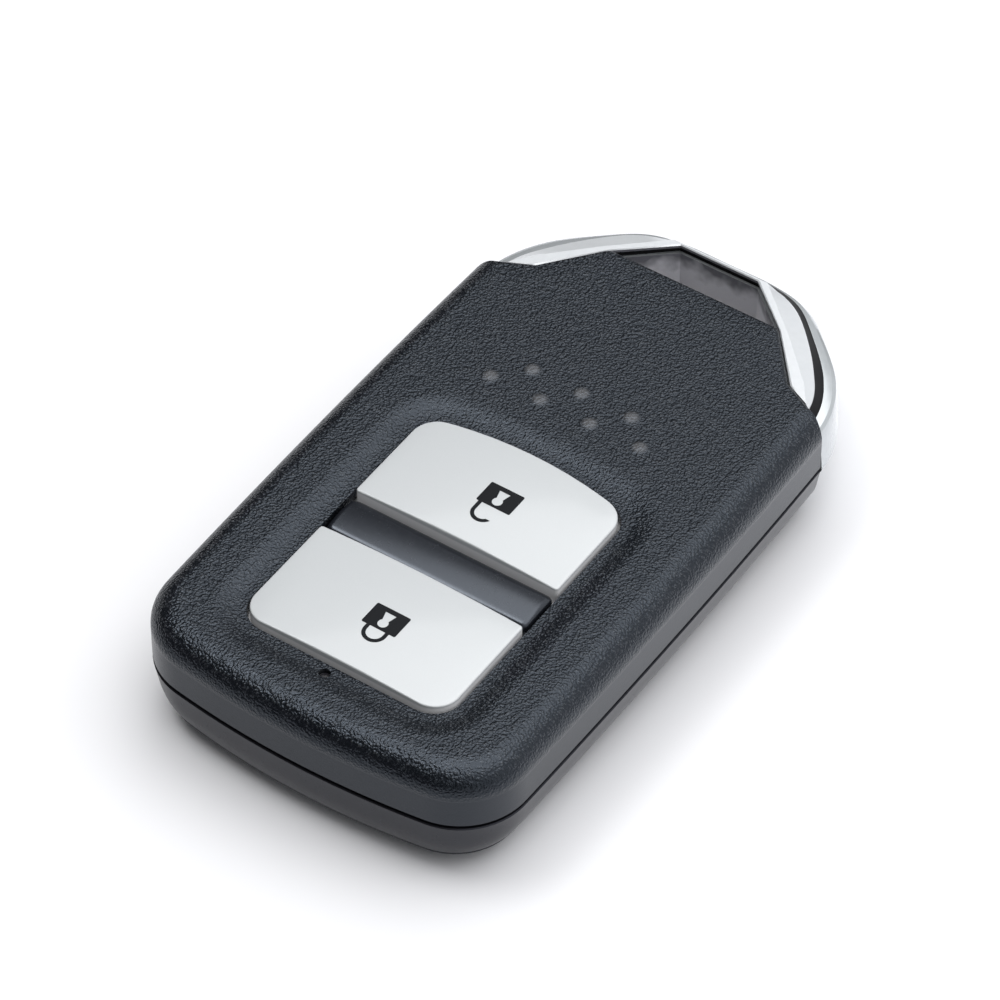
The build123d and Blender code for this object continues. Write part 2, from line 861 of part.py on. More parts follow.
def land_insets():
    """How far the land's outer edge lies inside the loop at each station."""
    notch = (notch_width / 2, notch_y)
    nose = (nose_width / 2, nose_y)
    hole = (hole_width / 2, hole_far_y)
    shoulder = (shoulder_width / 2, shoulder_y)
    inner = [((notch[0] + shoulder[0]) / 2, (notch[1] + shoulder[1]) / 2), notch, nose,
             ((nose[0] + hole[0]) / 2, (nose[1] + hole[1]) / 2), hole, (0, hole_far_y)]
    insets = []
    for (x, y, nx, ny), (inner_x, inner_y) in zip(head_stations, inner):
        width = far_land_width if y > hole_far_y + land_width else land_width
        insets.append((x - inner_x) * nx + (y - inner_y) * ny - width)
    return insets


def make_carrier():
    """Black core of the key head: it fills the gap between the case's two noses
    and holds the blade in a tongue."""
    z0 = nose_floor_top + slide_gap
    z1 = nose_underside - slide_gap
    y0 = cavity_far_y + cavity_far_wall + wall + slide_gap
    reach = nose_width
    core = raised(behind_nose(slide_gap), z0, z1) & block(-reach, reach, y0, nose_y, z0, z1)
    half = tongue_width / 2
    tongue = block(-half, half, tongue_y, y0, tongue_bottom, tongue_top)
    tongue -= block(half - latch_notch_depth, half, latch_y - latch_notch_length / 2,
                    latch_y + latch_notch_length / 2, tongue_bottom, tongue_top)
    core += tongue
    core -= make_blade_blank()
    return core - rod(0, pin_y, tongue_bottom, tongue_top, pin_radius)


def make_blade_blank():
    half = blade_width / 2
    tip_half = blade_tip_width / 2
    outline = Polyline((-half, blade_root_y), (-half, blade_tip_y + blade_tip_length),
                       (-tip_half, blade_tip_y), (tip_half, blade_tip_y),
                       (half, blade_tip_y + blade_tip_length), (half, blade_root_y), close=True)
    return raised(face_within([outline]), tongue_middle - blade_thickness / 2,
                  tongue_middle + blade_thickness / 2)


def make_blade():
    blade = make_blade_blank()
    groove_far = tongue_y - groove_end_margin
    top = tongue_middle + blade_thickness / 2
    bottom = tongue_middle - blade_thickness / 2
    for side, z0, z1 in ((1, top - groove_depth, top), (-1, bottom, bottom + groove_depth)):
        x = side * groove_offset
        blade -= block(x - groove_width / 2, x + groove_width / 2, blade_tip_y, groove_far, z0, z1)
    return blade - rod(0, pin_y, tongue_bottom, tongue_top, pin_radius)


def latch_post_x():
    return tongue_width / 2 + slide_gap


def latch_spring_end():
    return latch_post_x() + 2 * latch_post_thickness + spring_length


def make_latch():
    half = latch_width / 2
    plate_bottom = floor_thickness + latch_plate_gap
    plate_top = plate_bottom + latch_plate_thickness
    latch = block(-latch_left, latch_right, latch_y - half, latch_y + half, plate_bottom,
                  plate_top)
    pad_half_y = half - 2 * latch_gap
    latch += block(-latch_pad_half, latch_pad_half, latch_y - pad_half_y, latch_y + pad_half_y,
                   latch_pad_recess, plate_bottom)
    ribs = int(latch_pad_half / latch_rib_pitch)
    for index in range(-ribs, ribs + 1):
        x = index * latch_rib_pitch
        latch -= block(x - latch_rib_width / 2, x + latch_rib_width / 2, latch_y - pad_half_y,
                       latch_y + pad_half_y, latch_pad_recess, latch_pad_recess + latch_rib_depth)
    post_x = latch_post_x() + latch_post_thickness
    post_half = latch_post_length / 2
    latch += block(post_x, post_x + latch_post_thickness, latch_y - post_half,
                   latch_y + post_half, plate_top, plate_top + latch_post_height)
    nib_z = plate_top + latch_post_height - latch_nib_height
    return latch + block(latch_post_x(), post_x, latch_y - post_half, latch_y + post_half,
                         nib_z, plate_top + latch_post_height)


def make_latch_spring():
    """A coil along X between the latch's post and the wall on the floor."""
    start_x = latch_spring_end() - spring_length + spring_end_gap + spring_wire_radius
    run = spring_length - 2 * (spring_end_gap + spring_wire_radius)
    z = floor_thickness + spring_wall_height - spring_radius - spring_wire_radius
    helix = Helix(pitch=run / spring_turns, height=run, radius=spring_radius)
    section = Plane(origin=helix @ 0, z_dir=helix % 0) * Circle(spring_wire_radius)
    coil = sweep(section, path=helix)
    return Pos(start_x, latch_y, z) * (Rot(0, 90, 0) * coil)


def make_seal():
    z0 = seam_height + lip_height
    return lip_ring(z0, z0 + seal_thickness)


unlock_symbol = make_symbol(near_y + unlock_symbol_from_end, True)
lock_symbol = make_symbol(near_y + lock_symbol_from_end, False)

parts = {
    "upper_case": make_upper_case(),
    "lower_case": make_lower_case(),
    "case_seal": make_seal(),
    "unlock_button": make_button(bar_far_y, field_far_y + overrun, unlock_symbol),
    "lock_button": make_button(field_near_y - overrun, bar_near_y, lock_symbol),
    "unlock_symbol": unlock_symbol,
    "lock_symbol": lock_symbol,
    "divider_bar": make_bar(),
    "button_membrane": make_membrane(),
    "indicator_light_pipe": make_light_pipe(),
    "circuit_board": make_board(),
    "unlock_switch_body": make_switch_body(unlock_switch_from_end),
    "lock_switch_body": make_switch_body(lock_switch_from_end),
    "unlock_switch_stem": make_switch_stem(unlock_switch_from_end),
    "lock_switch_stem": make_switch_stem(lock_switch_from_end),
    "indicator_led": make_led(),
    "coin_cell": make_cell(),
    "battery_holder": make_holder(),
    "battery_contact_negative": make_negative_contact(),
    "battery_contact_positive": make_positive_contact(),
    "controller_chip": make_chip(controller_place, controller_size),
    "radio_chip": make_chip(radio_place, radio_size),
    "crystal_can": make_chip(crystal_place, crystal_size),
    "antenna_core": make_antenna_core(),
    "antenna_winding": antenna_bar(winding_thickness) - antenna_bar(0),
    "chip_capacitors": make_capacitors(),
    "blade_channel_cover": make_channel_cover(),
    "key_head_frame": make_head_frame(),
    "key_head_inlay": make_head_inlay(),
    "key_head_cover": make_head_cover(),
    "key_carrier": make_carrier(),
    "key_blade": make_blade(),
    "blade_pin": rod(0, pin_y, tongue_bottom, tongue_top, pin_radius),
    "release_latch": make_latch(),
    "latch_spring": make_latch_spring(),
}

for name, part in parts.items():
    export_step(part, f"parts/{name}.step")
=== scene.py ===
import bpy
import bmesh
from math import atan, cos, pi, radians, sin, tan
from mathutils import Matrix, Vector


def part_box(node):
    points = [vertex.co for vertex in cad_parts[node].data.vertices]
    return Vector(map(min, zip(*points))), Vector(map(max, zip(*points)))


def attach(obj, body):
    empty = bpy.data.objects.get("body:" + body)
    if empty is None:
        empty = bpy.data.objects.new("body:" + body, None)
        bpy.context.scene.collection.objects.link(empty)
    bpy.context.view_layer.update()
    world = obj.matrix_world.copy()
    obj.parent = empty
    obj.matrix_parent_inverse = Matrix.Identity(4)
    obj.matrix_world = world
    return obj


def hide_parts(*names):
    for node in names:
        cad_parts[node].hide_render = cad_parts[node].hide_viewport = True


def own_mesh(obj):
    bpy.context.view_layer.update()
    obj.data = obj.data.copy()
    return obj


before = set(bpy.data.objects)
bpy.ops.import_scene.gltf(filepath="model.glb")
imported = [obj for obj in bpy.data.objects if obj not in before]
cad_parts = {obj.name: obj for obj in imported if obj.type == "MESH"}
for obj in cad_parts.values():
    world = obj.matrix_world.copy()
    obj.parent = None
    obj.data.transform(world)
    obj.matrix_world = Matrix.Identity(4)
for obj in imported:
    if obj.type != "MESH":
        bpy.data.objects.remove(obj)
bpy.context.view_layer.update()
scene = bpy.context.scene
MM = 0.001

# The camera stands over the fob's right near corner, at the photograph's angle.
# It is a long lens from half a metre, so the fob shows little perspective.
azimuth = radians(34.275)
elevation = radians(46.47)
camera_distance = 493.28 * MM
aim = Vector((-2.384, -0.808, 7.7)) * MM
backwards = Vector((sin(azimuth) * cos(elevation), -cos(azimuth) * cos(elevation), sin(elevation)))
lens = bpy.data.cameras.new("photo_camera")
lens.sensor_width = 36
lens.lens = 194.4
lens.clip_start = 0.01
lens.clip_end = 20
camera = bpy.data.objects.new("photo_camera", lens)
camera.location = aim + backwards * camera_distance
camera.rotation_euler = backwards.to_track_quat("Z", "Y").to_euler()
scene.collection.objects.link(camera)
scene.camera = camera
scene.view_settings.view_transform = "Standard"

# The surroundings are a photo studio: white above the fob's right far side, greyer to the
# left, and dark low on the camera's side, where the near rounding's lower half looks.
world = bpy.data.worlds.new("studio")
scene.world = world
world.use_nodes = True
sky = world.node_tree
direction = sky.nodes.new("ShaderNodeTexCoord")
towards_white = sky.nodes.new("ShaderNodeVectorMath")
towards_white.operation = "DOT_PRODUCT"
towards_white.inputs[1].default_value = (0.60, 0.35, 0.70)
sky.links.new(direction.outputs["Generated"], towards_white.inputs[0])


def toned(tree, value, stops, green, blue):
    """A tone that follows a value through (value, tone) stops, tinted in green and blue."""
    node = tree.nodes.new("ShaderNodeValToRGB")
    elements = node.color_ramp.elements
    while len(elements) < len(stops):
        elements.new(0.5)
    for element, (position, tone) in zip(elements, stops):
        element.position = position
        element.color = (tone, tone * green, tone * blue, 1)
    tree.links.new(value, node.inputs[0])
    return node.outputs[0]


sky_stops = [(0.0, 0.02), (0.30, 0.10), (0.46, 0.40), (0.62, 0.80), (1.0, 0.90)]
sky_tone = toned(sky, towards_white.outputs["Value"], sky_stops, 1.01, 1.03)
sky.links.new(sky_tone, sky.nodes["Background"].inputs["Color"])


# The fob lies on a white table that runs out of the picture on every side. Reflections
# see it whiter and less shaded round the fob than it is, and greyer further away.
class Signal:
    """One output of a material's nodes, with arithmetic that adds Math nodes."""

    def __init__(self, tree, socket):
        self.tree = tree
        self.socket = socket

    def through(self, operation, *others):
        node = self.tree.nodes.new("ShaderNodeMath")
        node.operation = operation
        for place, value in zip(node.inputs, (self, *others)):
            if isinstance(value, Signal):
                self.tree.links.new(value.socket, place)
            else:
                place.default_value = value
        return Signal(self.tree, node.outputs[0])

    def __add__(self, other):
        return self.through("ADD", other)

    def __sub__(self, other):
        return self.through("SUBTRACT", other)

    def __rsub__(self, other):
        return (self * -1).through("ADD", other)

    def __mul__(self, other):
        return self.through("MULTIPLY", other)

    def __truediv__(self, other):
        return self.through("DIVIDE", other)

    def __abs__(self):
        return self.through("ABSOLUTE")

    __radd__ = __add__


class Finish:
    """A material being made: its shader's fixed values, and the nodes that feed it."""

    def __init__(self, name, **fixed):
        self.material = bpy.data.materials.new(name)
        self.material.use_nodes = True
        self.tree = self.material.node_tree
        self.shader = self.tree.nodes["Principled BSDF"]
        for name, value in fixed.items():
            socket = name.replace("_", " ").title().replace("Ior", "IOR")
            self.shader.inputs[socket].default_value = value

    def add(self, kind, settings, values, output=0):
        node = self.tree.nodes.new(kind)
        for name, value in settings.items():
            setattr(node, name, value)
        for name, value in values.items():
            if isinstance(value, Signal):
                self.tree.links.new(value.socket, node.inputs[name])
            else:
                node.inputs[name].default_value = value
        return Signal(self.tree, node.outputs[output])

    def place(self):
        """Where the point is on the piece, in millimetres."""
        where = self.add("ShaderNodeTexCoord", {}, {}, "Object")
        return self.add("ShaderNodeVectorMath", {"operation": "SCALE"},
                        {0: where, "Scale": 1 / MM})

    def axes(self):
        """The point's x, y and z on the piece, in millimetres."""
        split = self.tree.nodes.new("ShaderNodeSeparateXYZ")
        self.tree.links.new(self.place().socket, split.inputs[0])
        return [Signal(self.tree, socket) for socket in split.outputs]

    def rise(self, value, low, high):
        """Nought where the value is below low, one where it is above high."""
        return self.add("ShaderNodeMapRange", {},
                        {"Value": value, "From Min": low, "From Max": high})

    def noise(self, place, scale, detail=2.0, roughness=0.5):
        return self.add("ShaderNodeTexNoise", {},
                        {"Vector": place, "Scale": scale, "Detail": detail,
                         "Roughness": roughness})

    def blend(self, share, first, second):
        """A colour between two, by share."""
        return self.add("ShaderNodeMix", {"data_type": "RGBA"},
                        {0: share, 6: first, 7: second}, 2)

    def feed(self, **links):
        for socket, signal in links.items():
            self.tree.links.new(signal.socket, self.shader.inputs[socket.replace("_", " ")])
        return self.material

    def relief(self, height, depth):
        """The surface direction with bumps of that height signal, depth in millimetres."""
        return self.add("ShaderNodeBump", {},
                        {"Height": height, "Distance": depth * MM, "Strength": 1.0})


table_half = 2.0
table = bpy.data.objects.new("table", bpy.data.meshes.new("table"))
scene.collection.objects.link(table)
sheet = bmesh.new()
bmesh.ops.create_grid(sheet, x_segments=1, y_segments=1, size=table_half)
sheet.to_mesh(table.data)
sheet.free()
paper = Finish("table_white", roughness=0.7, emission_strength=1)
away = paper.add("ShaderNodeVectorMath", {"operation": "DISTANCE"},
                 {0: paper.add("ShaderNodeTexCoord", {}, {}, "Object"), 1: (0.06, 0.04, 0)},
                 "Value")
mirrored = paper.add("ShaderNodeLightPath", {}, {}, "Is Glossy Ray")
paper_stops = [(0.0, 0.85), (0.03, 0.94), (0.05, 0.94), (0.11, 0.58), (0.17, 0.44)]
paper_tone = toned(paper.tree, (mirrored * away).socket, paper_stops, 1, 1.02)
table.data.materials.append(paper.feed(
    Base_Color=Signal(paper.tree, paper_tone),
    Emission_Color=paper.blend(mirrored, (0, 0, 0, 1), (0.10, 0.10, 0.105, 1)),
))

# Light comes from a large soft box overhead and a small one above the left of the near end.
# They draw the soft highlights along the rounded edges.
fob_centre = Vector((0, 0, 7)) * MM


def soft_box(name, towards, distance, width, height, watts):
    lamp = bpy.data.lights.new(name, "AREA")
    lamp.shape = "RECTANGLE"
    lamp.size = width
    lamp.size_y = height
    lamp.energy = watts
    holder = bpy.data.objects.new(name, lamp)
    towards = Vector(towards).normalized()
    holder.location = fob_centre + towards * distance
    holder.rotation_euler = towards.to_track_quat("Z", "Y").to_euler()
    scene.collection.objects.link(holder)


soft_box("overhead_box", (0.05, 0.17, 0.98), 0.8, 1.0, 0.9, 5.8)
soft_box("near_box", (-0.40, -0.14, 0.91), 0.75, 0.3, 0.24, 1.2)

# The upper case is a moulded black plastic shell with a fine leather grain on its top
# and its rounded edges, and smooth walls under them. It fits over the lower case's lip.
grain_floor, top_z = 10.5, 13.1
grain = Finish("case_grained", roughness=0.24, specular_tint=(0.74, 0.85, 1.0, 1),
               specular_ior_level=0.5)
where = grain.place()
height = grain.axes()[2]
top_share = grain.rise(height, grain_floor - 0.3, grain_floor + 0.3)
warp = grain.add("ShaderNodeTexNoise", {}, {"Vector": where, "Scale": 1.3}, "Color")
bent = grain.add("ShaderNodeVectorMath", {"operation": "MULTIPLY_ADD"},
                 {0: warp, 1: (0.5, 0.5, 0.5), 2: where})
cells = grain.add("ShaderNodeTexVoronoi", {"feature": "SMOOTH_F1"},
                  {"Vector": bent, "Scale": 3.9, "Smoothness": 0.25})
fine = grain.noise(where, 5.0, 2.0, 0.6)
bumps = (1 - cells) * 0.8 + fine * 0.5
tone = grain.noise(where, 0.6)
# Lighter specks on the grain's high points across the top are painted glints.
painted_glints = grain.rise(bumps, 0.70, 1.05) * grain.rise(height, top_z - 1.2, top_z - 0.5)
shell_black = grain.blend(tone, (0.003, 0.004, 0.006, 1), (0.007, 0.008, 0.010, 1))
# The dots' tops are painted a lighter grey: a painted sheen, for the light they catch.
dot_sheen_share = grain.rise(height, top_z + 0.01, top_z + 0.07)
shell_black = grain.blend(dot_sheen_share, shell_black, (0.085, 0.085, 0.088, 1))
wall_black = (0.008, 0.008, 0.010, 1)
case_grained = grain.feed(
    Base_Color=grain.blend(painted_glints, grain.blend(top_share, wall_black, shell_black),
                           (0.055, 0.058, 0.062, 1)),
    Normal=grain.relief(bumps * (top_share * 0.95 + 0.05), 0.075),
)


def smooth_line(points, steps):
    """Points along a smooth curve through the given ones, a few for each span."""
    points = [Vector(point) for point in points]
    ends = [points[0] * 2 - points[1], *points, points[-1] * 2 - points[-2]]
    line = []
    for a, b, c, d in zip(ends, ends[1:], ends[2:], ends[3:]):
        for step in range(steps):
            t = step / steps
            line.append((b * 2 + (c - a) * t + (a * 2 - b * 5 + c * 4 - d) * t * t
                         + (b * 3 - a - c * 3 + d) * t * t * t) / 2)
    return line + [points[-1]]


def spread(start, end, steps):
    """Points from one place towards another, without the last."""
    return [start + (end - start) * step / steps for step in range(steps)]


def arc(centre, radius, first, last, steps):
    """Points along an arc between two angles, without the last."""
    angles = [first + (last - first) * step / steps for step in range(steps)]
    return [centre + Vector((cos(angle), sin(angle))) * radius for angle in angles]


def near_half(side_inset, end_inset):
    """The right half of the case's outline, from the near end's middle to the side."""
    radius = near_radius - min(side_inset, end_inset)
    half = near_half_width - side_inset
    centre_y = near_y + near_bow + end_inset + radius
    touch_x = half - radius
    for _ in range(settling_rounds):
        centre_x = side_at(centre_y) - side_inset - radius
        tilt = atan(2 * near_bow * touch_x / half ** 2)
        touch_x = centre_x + radius * sin(tilt)
        centre_y = near_y + end_inset + near_bow * (touch_x / half) ** 2 + radius * cos(tilt)
    bow = [Vector((x, near_y + end_inset + near_bow * (x / half) ** 2))
           for x in (touch_x * step / near_steps for step in range(near_steps))]
    return bow + arc(Vector((centre_x, centre_y)), radius, tilt - pi / 2, 0, corner_steps)


def side_at(y):
    """How far the case's side is from its middle line at a place along it."""
    share = (y - widest_y) / (near_end_y - widest_y if y < widest_y else shoulder.y - widest_y)
    narrow = near_half_width if y < widest_y else shoulder.x
    return widest_x + (narrow - widest_x) * share ** 2


def near_and_side(side_inset, end_inset, end_y):
    """The right half of the case's outline, on up the side to a place along it."""
    near = near_half(side_inset, end_inset)
    start_y = 2 * near[-1].y - near[-2].y
    return near + [Vector((side_at(y) - side_inset, y)) for y in
                   (start_y + (end_y - start_y) * step / side_steps for step in range(side_steps))]


def to_middle(start, steps):
    """Points straight across to the middle line."""
    middle = Vector((0, start.y))
    return spread(start, middle, steps) + [middle]


def box_ring(side_inset, end_inset, far_y):
    """Half an outline with a straight far side."""
    corner = Vector((side_at(far_y) - side_inset, far_y))
    return near_and_side(side_inset, end_inset, far_y) + to_middle(corner, far_steps)


def cut_ring(inset, far_y):
    """Half an outline cut by the slanted shoulder, and straight beyond it."""
    corner = shoulder + Vector((-inset, slant_drop * inset))
    along_slant = corner + (notch - shoulder) * ((far_y - corner.y) / (notch.y - shoulder.y))
    return (near_and_side(inset, inset, corner.y) + spread(corner, along_slant, slant_steps)
            + to_middle(along_slant, far_steps - slant_steps))


def nose_ring(inset, nose_inset):
    """Half the upper case's outline, with the nose's two corners."""
    corner = shoulder + Vector((-inset, slant_drop * inset - nose_drop * nose_inset))
    notch_in = notch + Vector((-0.36, -0.94)) * nose_inset
    radius = nose_radius - nose_inset
    lean = (nose - notch).angle(Vector((-1, 0)))
    reach = nose_radius * tan(lean / 2)
    centre = nose + Vector((-reach, -nose_radius))
    turn = arc(centre, radius, pi / 2 - lean, pi / 2, nose_corner_steps)
    return (near_and_side(inset, inset, corner.y) + spread(corner, notch_in, slant_steps)
            + spread(notch_in, turn[0], nose_side_steps) + turn
            + to_middle(Vector((centre.x, centre.y + radius)), nose_far_steps))


def window_ring(grow):
    """Half the outline of the opening for the buttons, grown outwards."""
    half = half_width + grow
    radius = corner_radius + grow
    side_x = half - radius
    near_side = near_edge_y - grow
    touch_x = side_x
    for _ in range(settling_rounds):
        tilt = atan(2 * far_bow * touch_x / half ** 2)
        touch_x = side_x + radius * sin(tilt)
        far_y = far_middle_y + grow - far_bow * (touch_x / half) ** 2
        centre_y = far_y - radius * cos(tilt)
    near_centre = Vector((side_x, near_side + radius))
    bow = [Vector((x, far_middle_y + grow - far_bow * (x / half) ** 2))
           for x in (touch_x * (1 - step / bow_steps) for step in range(bow_steps + 1))]
    return (spread(Vector((0, near_side)), Vector((side_x, near_side)), near_steps)
            + arc(near_centre, radius, -pi / 2, 0, corner_steps)
            + spread(Vector((half, near_centre.y)), Vector((half, centre_y)), side_steps)
            + arc(Vector((side_x, centre_y)), radius, 0, pi / 2 - tilt, slant_steps) + bow)


def capped(mesh):
    """A bmesh with flat faces over its open rims and its faces outwards."""
    bmesh.ops.holes_fill(mesh, edges=[edge for edge in mesh.edges if edge.is_boundary], sides=0)
    bmesh.ops.recalc_face_normals(mesh, faces=mesh.faces)
    return mesh


def hoop(section, ring_round=True):
    """A skin through half rings of (x, y) at their heights, mirrored to the left. It comes
    back round to its first ring, or else it is filled flat at its first and last. Half
    rings that don't start at the middle leave flat ends."""
    mesh = bmesh.new()
    columns = len(section) - (not ring_round)
    half = len(section[0][0]) - 1
    bmesh.ops.create_grid(mesh, x_segments=2 * half, y_segments=columns, size=1)
    for vert in mesh.verts:
        step = round((vert.co.x + 1) * half)
        line, z = section[round((vert.co.y + 1) / 2 * columns) % len(section)]
        point = line[2 * half - step if step > half else step]
        vert.co = (-point.x if step > half else point.x, point.y, z)
    bmesh.ops.remove_doubles(mesh, verts=mesh.verts, dist=0.0005)
    return capped(mesh)


def laid(mesh, name):
    """An object from a bmesh in millimetres."""
    bmesh.ops.scale(mesh, vec=(MM, MM, MM), verts=mesh.verts)
    piece = bpy.data.objects.new(name, bpy.data.meshes.new(name))
    scene.collection.objects.link(piece)
    mesh.to_mesh(piece.data)
    mesh.free()
    return piece


def block(mesh, x0, x1, y0, y1, z0, z1):
    """A box between those limits, added to a bmesh."""
    verts = bmesh.ops.create_cube(mesh, size=1)["verts"]
    bmesh.ops.scale(mesh, vec=(x1 - x0, y1 - y0, z1 - z0), verts=verts)
    bmesh.ops.translate(mesh, vec=((x0 + x1) / 2, (y0 + y1) / 2, (z0 + z1) / 2), verts=verts)


def rod(mesh, x, y, z0, z1, radius):
    """An upright round post, added to a bmesh."""
    verts = bmesh.ops.create_cone(mesh, cap_ends=True, segments=32, radius1=radius,
                                  radius2=radius, depth=z1 - z0)["verts"]
    bmesh.ops.translate(mesh, vec=(x, y, (z0 + z1) / 2), verts=verts)


def finished(mesh, name, body, slot, finish, crease, *nodes, cutter=None):
    """A piece from a bmesh in millimetres, less the cutter's bmesh. It rides on a body,
    in place of CAD nodes."""
    piece = laid(mesh, name)
    if cutter:
        tool = laid(cutter, "cutter")
        cut = piece.modifiers.new("cut", "BOOLEAN")
        cut.solver = "EXACT"
        cut.use_self = True
        cut.object = tool
        ready = piece.evaluated_get(bpy.context.evaluated_depsgraph_get())
        piece.data = bpy.data.meshes.new_from_object(ready)
        piece.modifiers.clear()
        bpy.data.objects.remove(tool)
    piece.data.shade_smooth()
    piece.data.set_sharp_from_angle(angle=radians(crease))
    piece.data.materials.append(finish)
    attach(piece, body)
    if nodes:
        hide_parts(*nodes)
    return piece


near_steps, corner_steps, side_steps, slant_steps = 20, 14, 70, 14
nose_side_steps, nose_corner_steps, nose_far_steps = 16, 6, 28
far_steps = slant_steps + nose_side_steps + nose_corner_steps + nose_far_steps
bow_steps = far_steps - slant_steps
settling_rounds = 20
near_y, near_bow, near_radius, near_half_width = -36.6, 2.0, 7.0, 19.3
near_end_y = near_y + near_bow
widest_x, widest_y = 19.7, -5.0
shoulder = Vector((19.35, 19.65))
notch = Vector((14.0, 22.2))
slant_drop, nose_drop = 0.477, 1.107
nose = Vector((9.4, 27.85))
nose_radius = 1.2
half_width = 10.95
corner_radius = 2.6
near_edge_y, far_middle_y, far_bow = -29.3, 0.95, 1.2
window_gap = 0.25
rounding, nose_rounding = 2.6, 0.5
seam_z, nose_under_z, ceiling = 7.0, 10.2, 11.5
nose_root_y = 21.25
wall, inside_far_y = 1.6, 18.3
groove, groove_far_y, groove_top = 0.8, 19.1, 8.4
skirt_inside, skirt_reach, skirt_low = 0.9, 1.7, 10.35
dish = smooth_line([(0, 0.42), (0.7, 0.40), (1.3, 0.33), (1.9, 0.19), (2.5, 0.06), (3.0, 0.0)], 3)
edge_break = 0.12
shares = [0.03, 0.07, *(0.095 + 0.011 * step for step in range(21)), 0.34, 0.39, 0.46, 0.54,
          0.63, 0.72, 0.81, 0.9]
shell = [(window_ring(window_gap), ceiling),
         (window_ring(window_gap), top_z - dish[0].y - edge_break)]
shell += [(window_ring(window_gap + max(reach, edge_break / 2)), top_z - depth)
          for reach, depth in dish]
brim = window_ring(window_gap + dish[-1].x)
land = nose_ring(rounding, nose_rounding)
shell += [([a + (b - a) * share for a, b in zip(brim, land)], top_z) for share in shares]
for degrees in (90, 84, 78, 71, 64, 57, 49, 40, 30, 20, 10, 0):
    z = top_z - rounding + rounding * sin(radians(degrees))
    over = max(0, z - top_z + nose_rounding)
    shell.append((nose_ring(rounding - rounding * cos(radians(degrees)),
                            nose_rounding - (nose_rounding ** 2 - over ** 2) ** 0.5), z))
shell += [(nose_ring(0, 0), nose_under_z), (cut_ring(0, nose_root_y), nose_under_z),
          (cut_ring(0, nose_root_y), seam_z + edge_break),
          (cut_ring(edge_break, nose_root_y - edge_break), seam_z),
          *((box_ring(groove, groove, groove_far_y), z) for z in (seam_z, groove_top)),
          *((box_ring(wall, wall, inside_far_y), z) for z in (groove_top, ceiling)),
          *((window_ring(skirt_reach), z) for z in (ceiling, skirt_low)),
          *((window_ring(skirt_inside), z) for z in (skirt_low, ceiling))]
upper = hoop(shell)

# Seven low round dots stand in two rows beyond the buttons.
dot_radius, dot_height, dot_pitch, dots_middle_x = 1.1, 0.10, 5.46, -0.9
dots = [Vector((dots_middle_x + (index - (count - 1) / 2) * dot_pitch, y))
        for count, y in ((4, 7.5), (3, 10.3)) for index in range(count)]
top_edges = {edge for face in upper.faces if face.calc_center_median().z > top_z - edge_break
             and min((face.calc_center_median().xy - dot).length for dot in dots) < dot_radius + 0.2
             for edge in face.edges}
bmesh.ops.subdivide_edges(upper, edges=list(top_edges), cuts=2, use_grid_fill=True)
for vert in upper.verts:
    if vert.co.z < top_z - edge_break:
        continue
    away = min((vert.co.xy - dot).length for dot in dots)
    if away < dot_radius:
        vert.co.z += dot_height * (1 + cos(pi * away / dot_radius)) / 2

# A small hole near the near end lets the indicator light out.
light_x, light_y = -0.6, -30.65
light_radius, pipe_bore_radius, pipe_bore_low = 0.55, 1.0, 9
light_hole = bmesh.new()
rod(light_hole, light_x, light_y, ceiling - 0.1, top_z + 1, light_radius)
rod(light_hole, light_x, light_y, pipe_bore_low, ceiling, pipe_bore_radius)
finished(upper, "upper_shell", "cover", "case_grained", case_grained, 28, "upper_case",
         cutter=light_hole)


# The lower case is the same black plastic without the grain. It curves in to a flat back,
# and holds the board's posts, the walls that guide the key blade, and the latch's seat.
def belly_ring(side_inset, end_inset, far_y):
    """Half an outline cut by the case's slanted shoulder and nose, and straight beyond."""
    side = shoulder.x - side_inset
    if side > notch.x:
        start = shoulder + (notch - shoulder) * (shoulder.x - side) / (shoulder.x - notch.x)
    else:
        start = notch + (nose - notch) * (notch.x - side) / (notch.x - nose.x)
    start.y = min(start.y, far_y)
    bend = notch if side > notch.x else start
    tip = nose
    if far_y < notch.y:
        bend = shoulder + (notch - shoulder) * (far_y - shoulder.y) / (notch.y - shoulder.y)
        bend = tip = Vector((min(bend.x, side), far_y))
    return (near_and_side(side_inset, end_inset, start.y) + spread(start, bend, slant_steps)
            + spread(bend, tip, nose_side_steps)
            + to_middle(tip, nose_corner_steps + nose_far_steps))


seam_gap_z, seam_gap_depth = 6.65, 0.45
lip_outside, lip_inside, lip_top_z = 0.9, 1.75, 8.2
seam_far_y, lip_far_y, lip_inside_far_y = 19.2, 19.0, 18.15
inside_levels = [(1.9, 1.8, 5.2), (2.6, 2.4, 3.2), (4.2, 3.6, 1.5)]
nose_floor_z = 1.8
belly = smooth_line([(0, 4.4, 3.0), (0.6, 3.0, 1.9), (1.6, 1.8, 1.1), (3.4, 0.7, 0.4),
                     (seam_gap_z - 0.1, 0, 0)], 8)
tray = [(belly_ring(side, end, nose.y), z) for z, side, end in belly if z < nose_floor_z]
ledge = next(level for level in belly if level.x >= nose_floor_z)
tray += [(belly_ring(ledge.y, ledge.z, far_y), nose_floor_z) for far_y in (nose.y, nose_root_y)]
tray += [(belly_ring(side, end, nose_root_y), z) for z, side, end in belly if z > nose_floor_z]
tray += [(belly_ring(0.1, 0.1, nose_root_y - 0.1), seam_gap_z),
         (box_ring(seam_gap_depth, seam_gap_depth, seam_far_y), seam_gap_z),
         (box_ring(seam_gap_depth, seam_gap_depth, seam_far_y), seam_z),
         *((box_ring(lip_outside, lip_outside, lip_far_y), z) for z in (seam_z, lip_top_z)),
         *((box_ring(lip_inside, lip_inside, lip_inside_far_y), z)
           for z in (lip_top_z, seam_gap_z)),
         *((box_ring(side, end, inside_far_y), z) for side, end, z in inside_levels)]


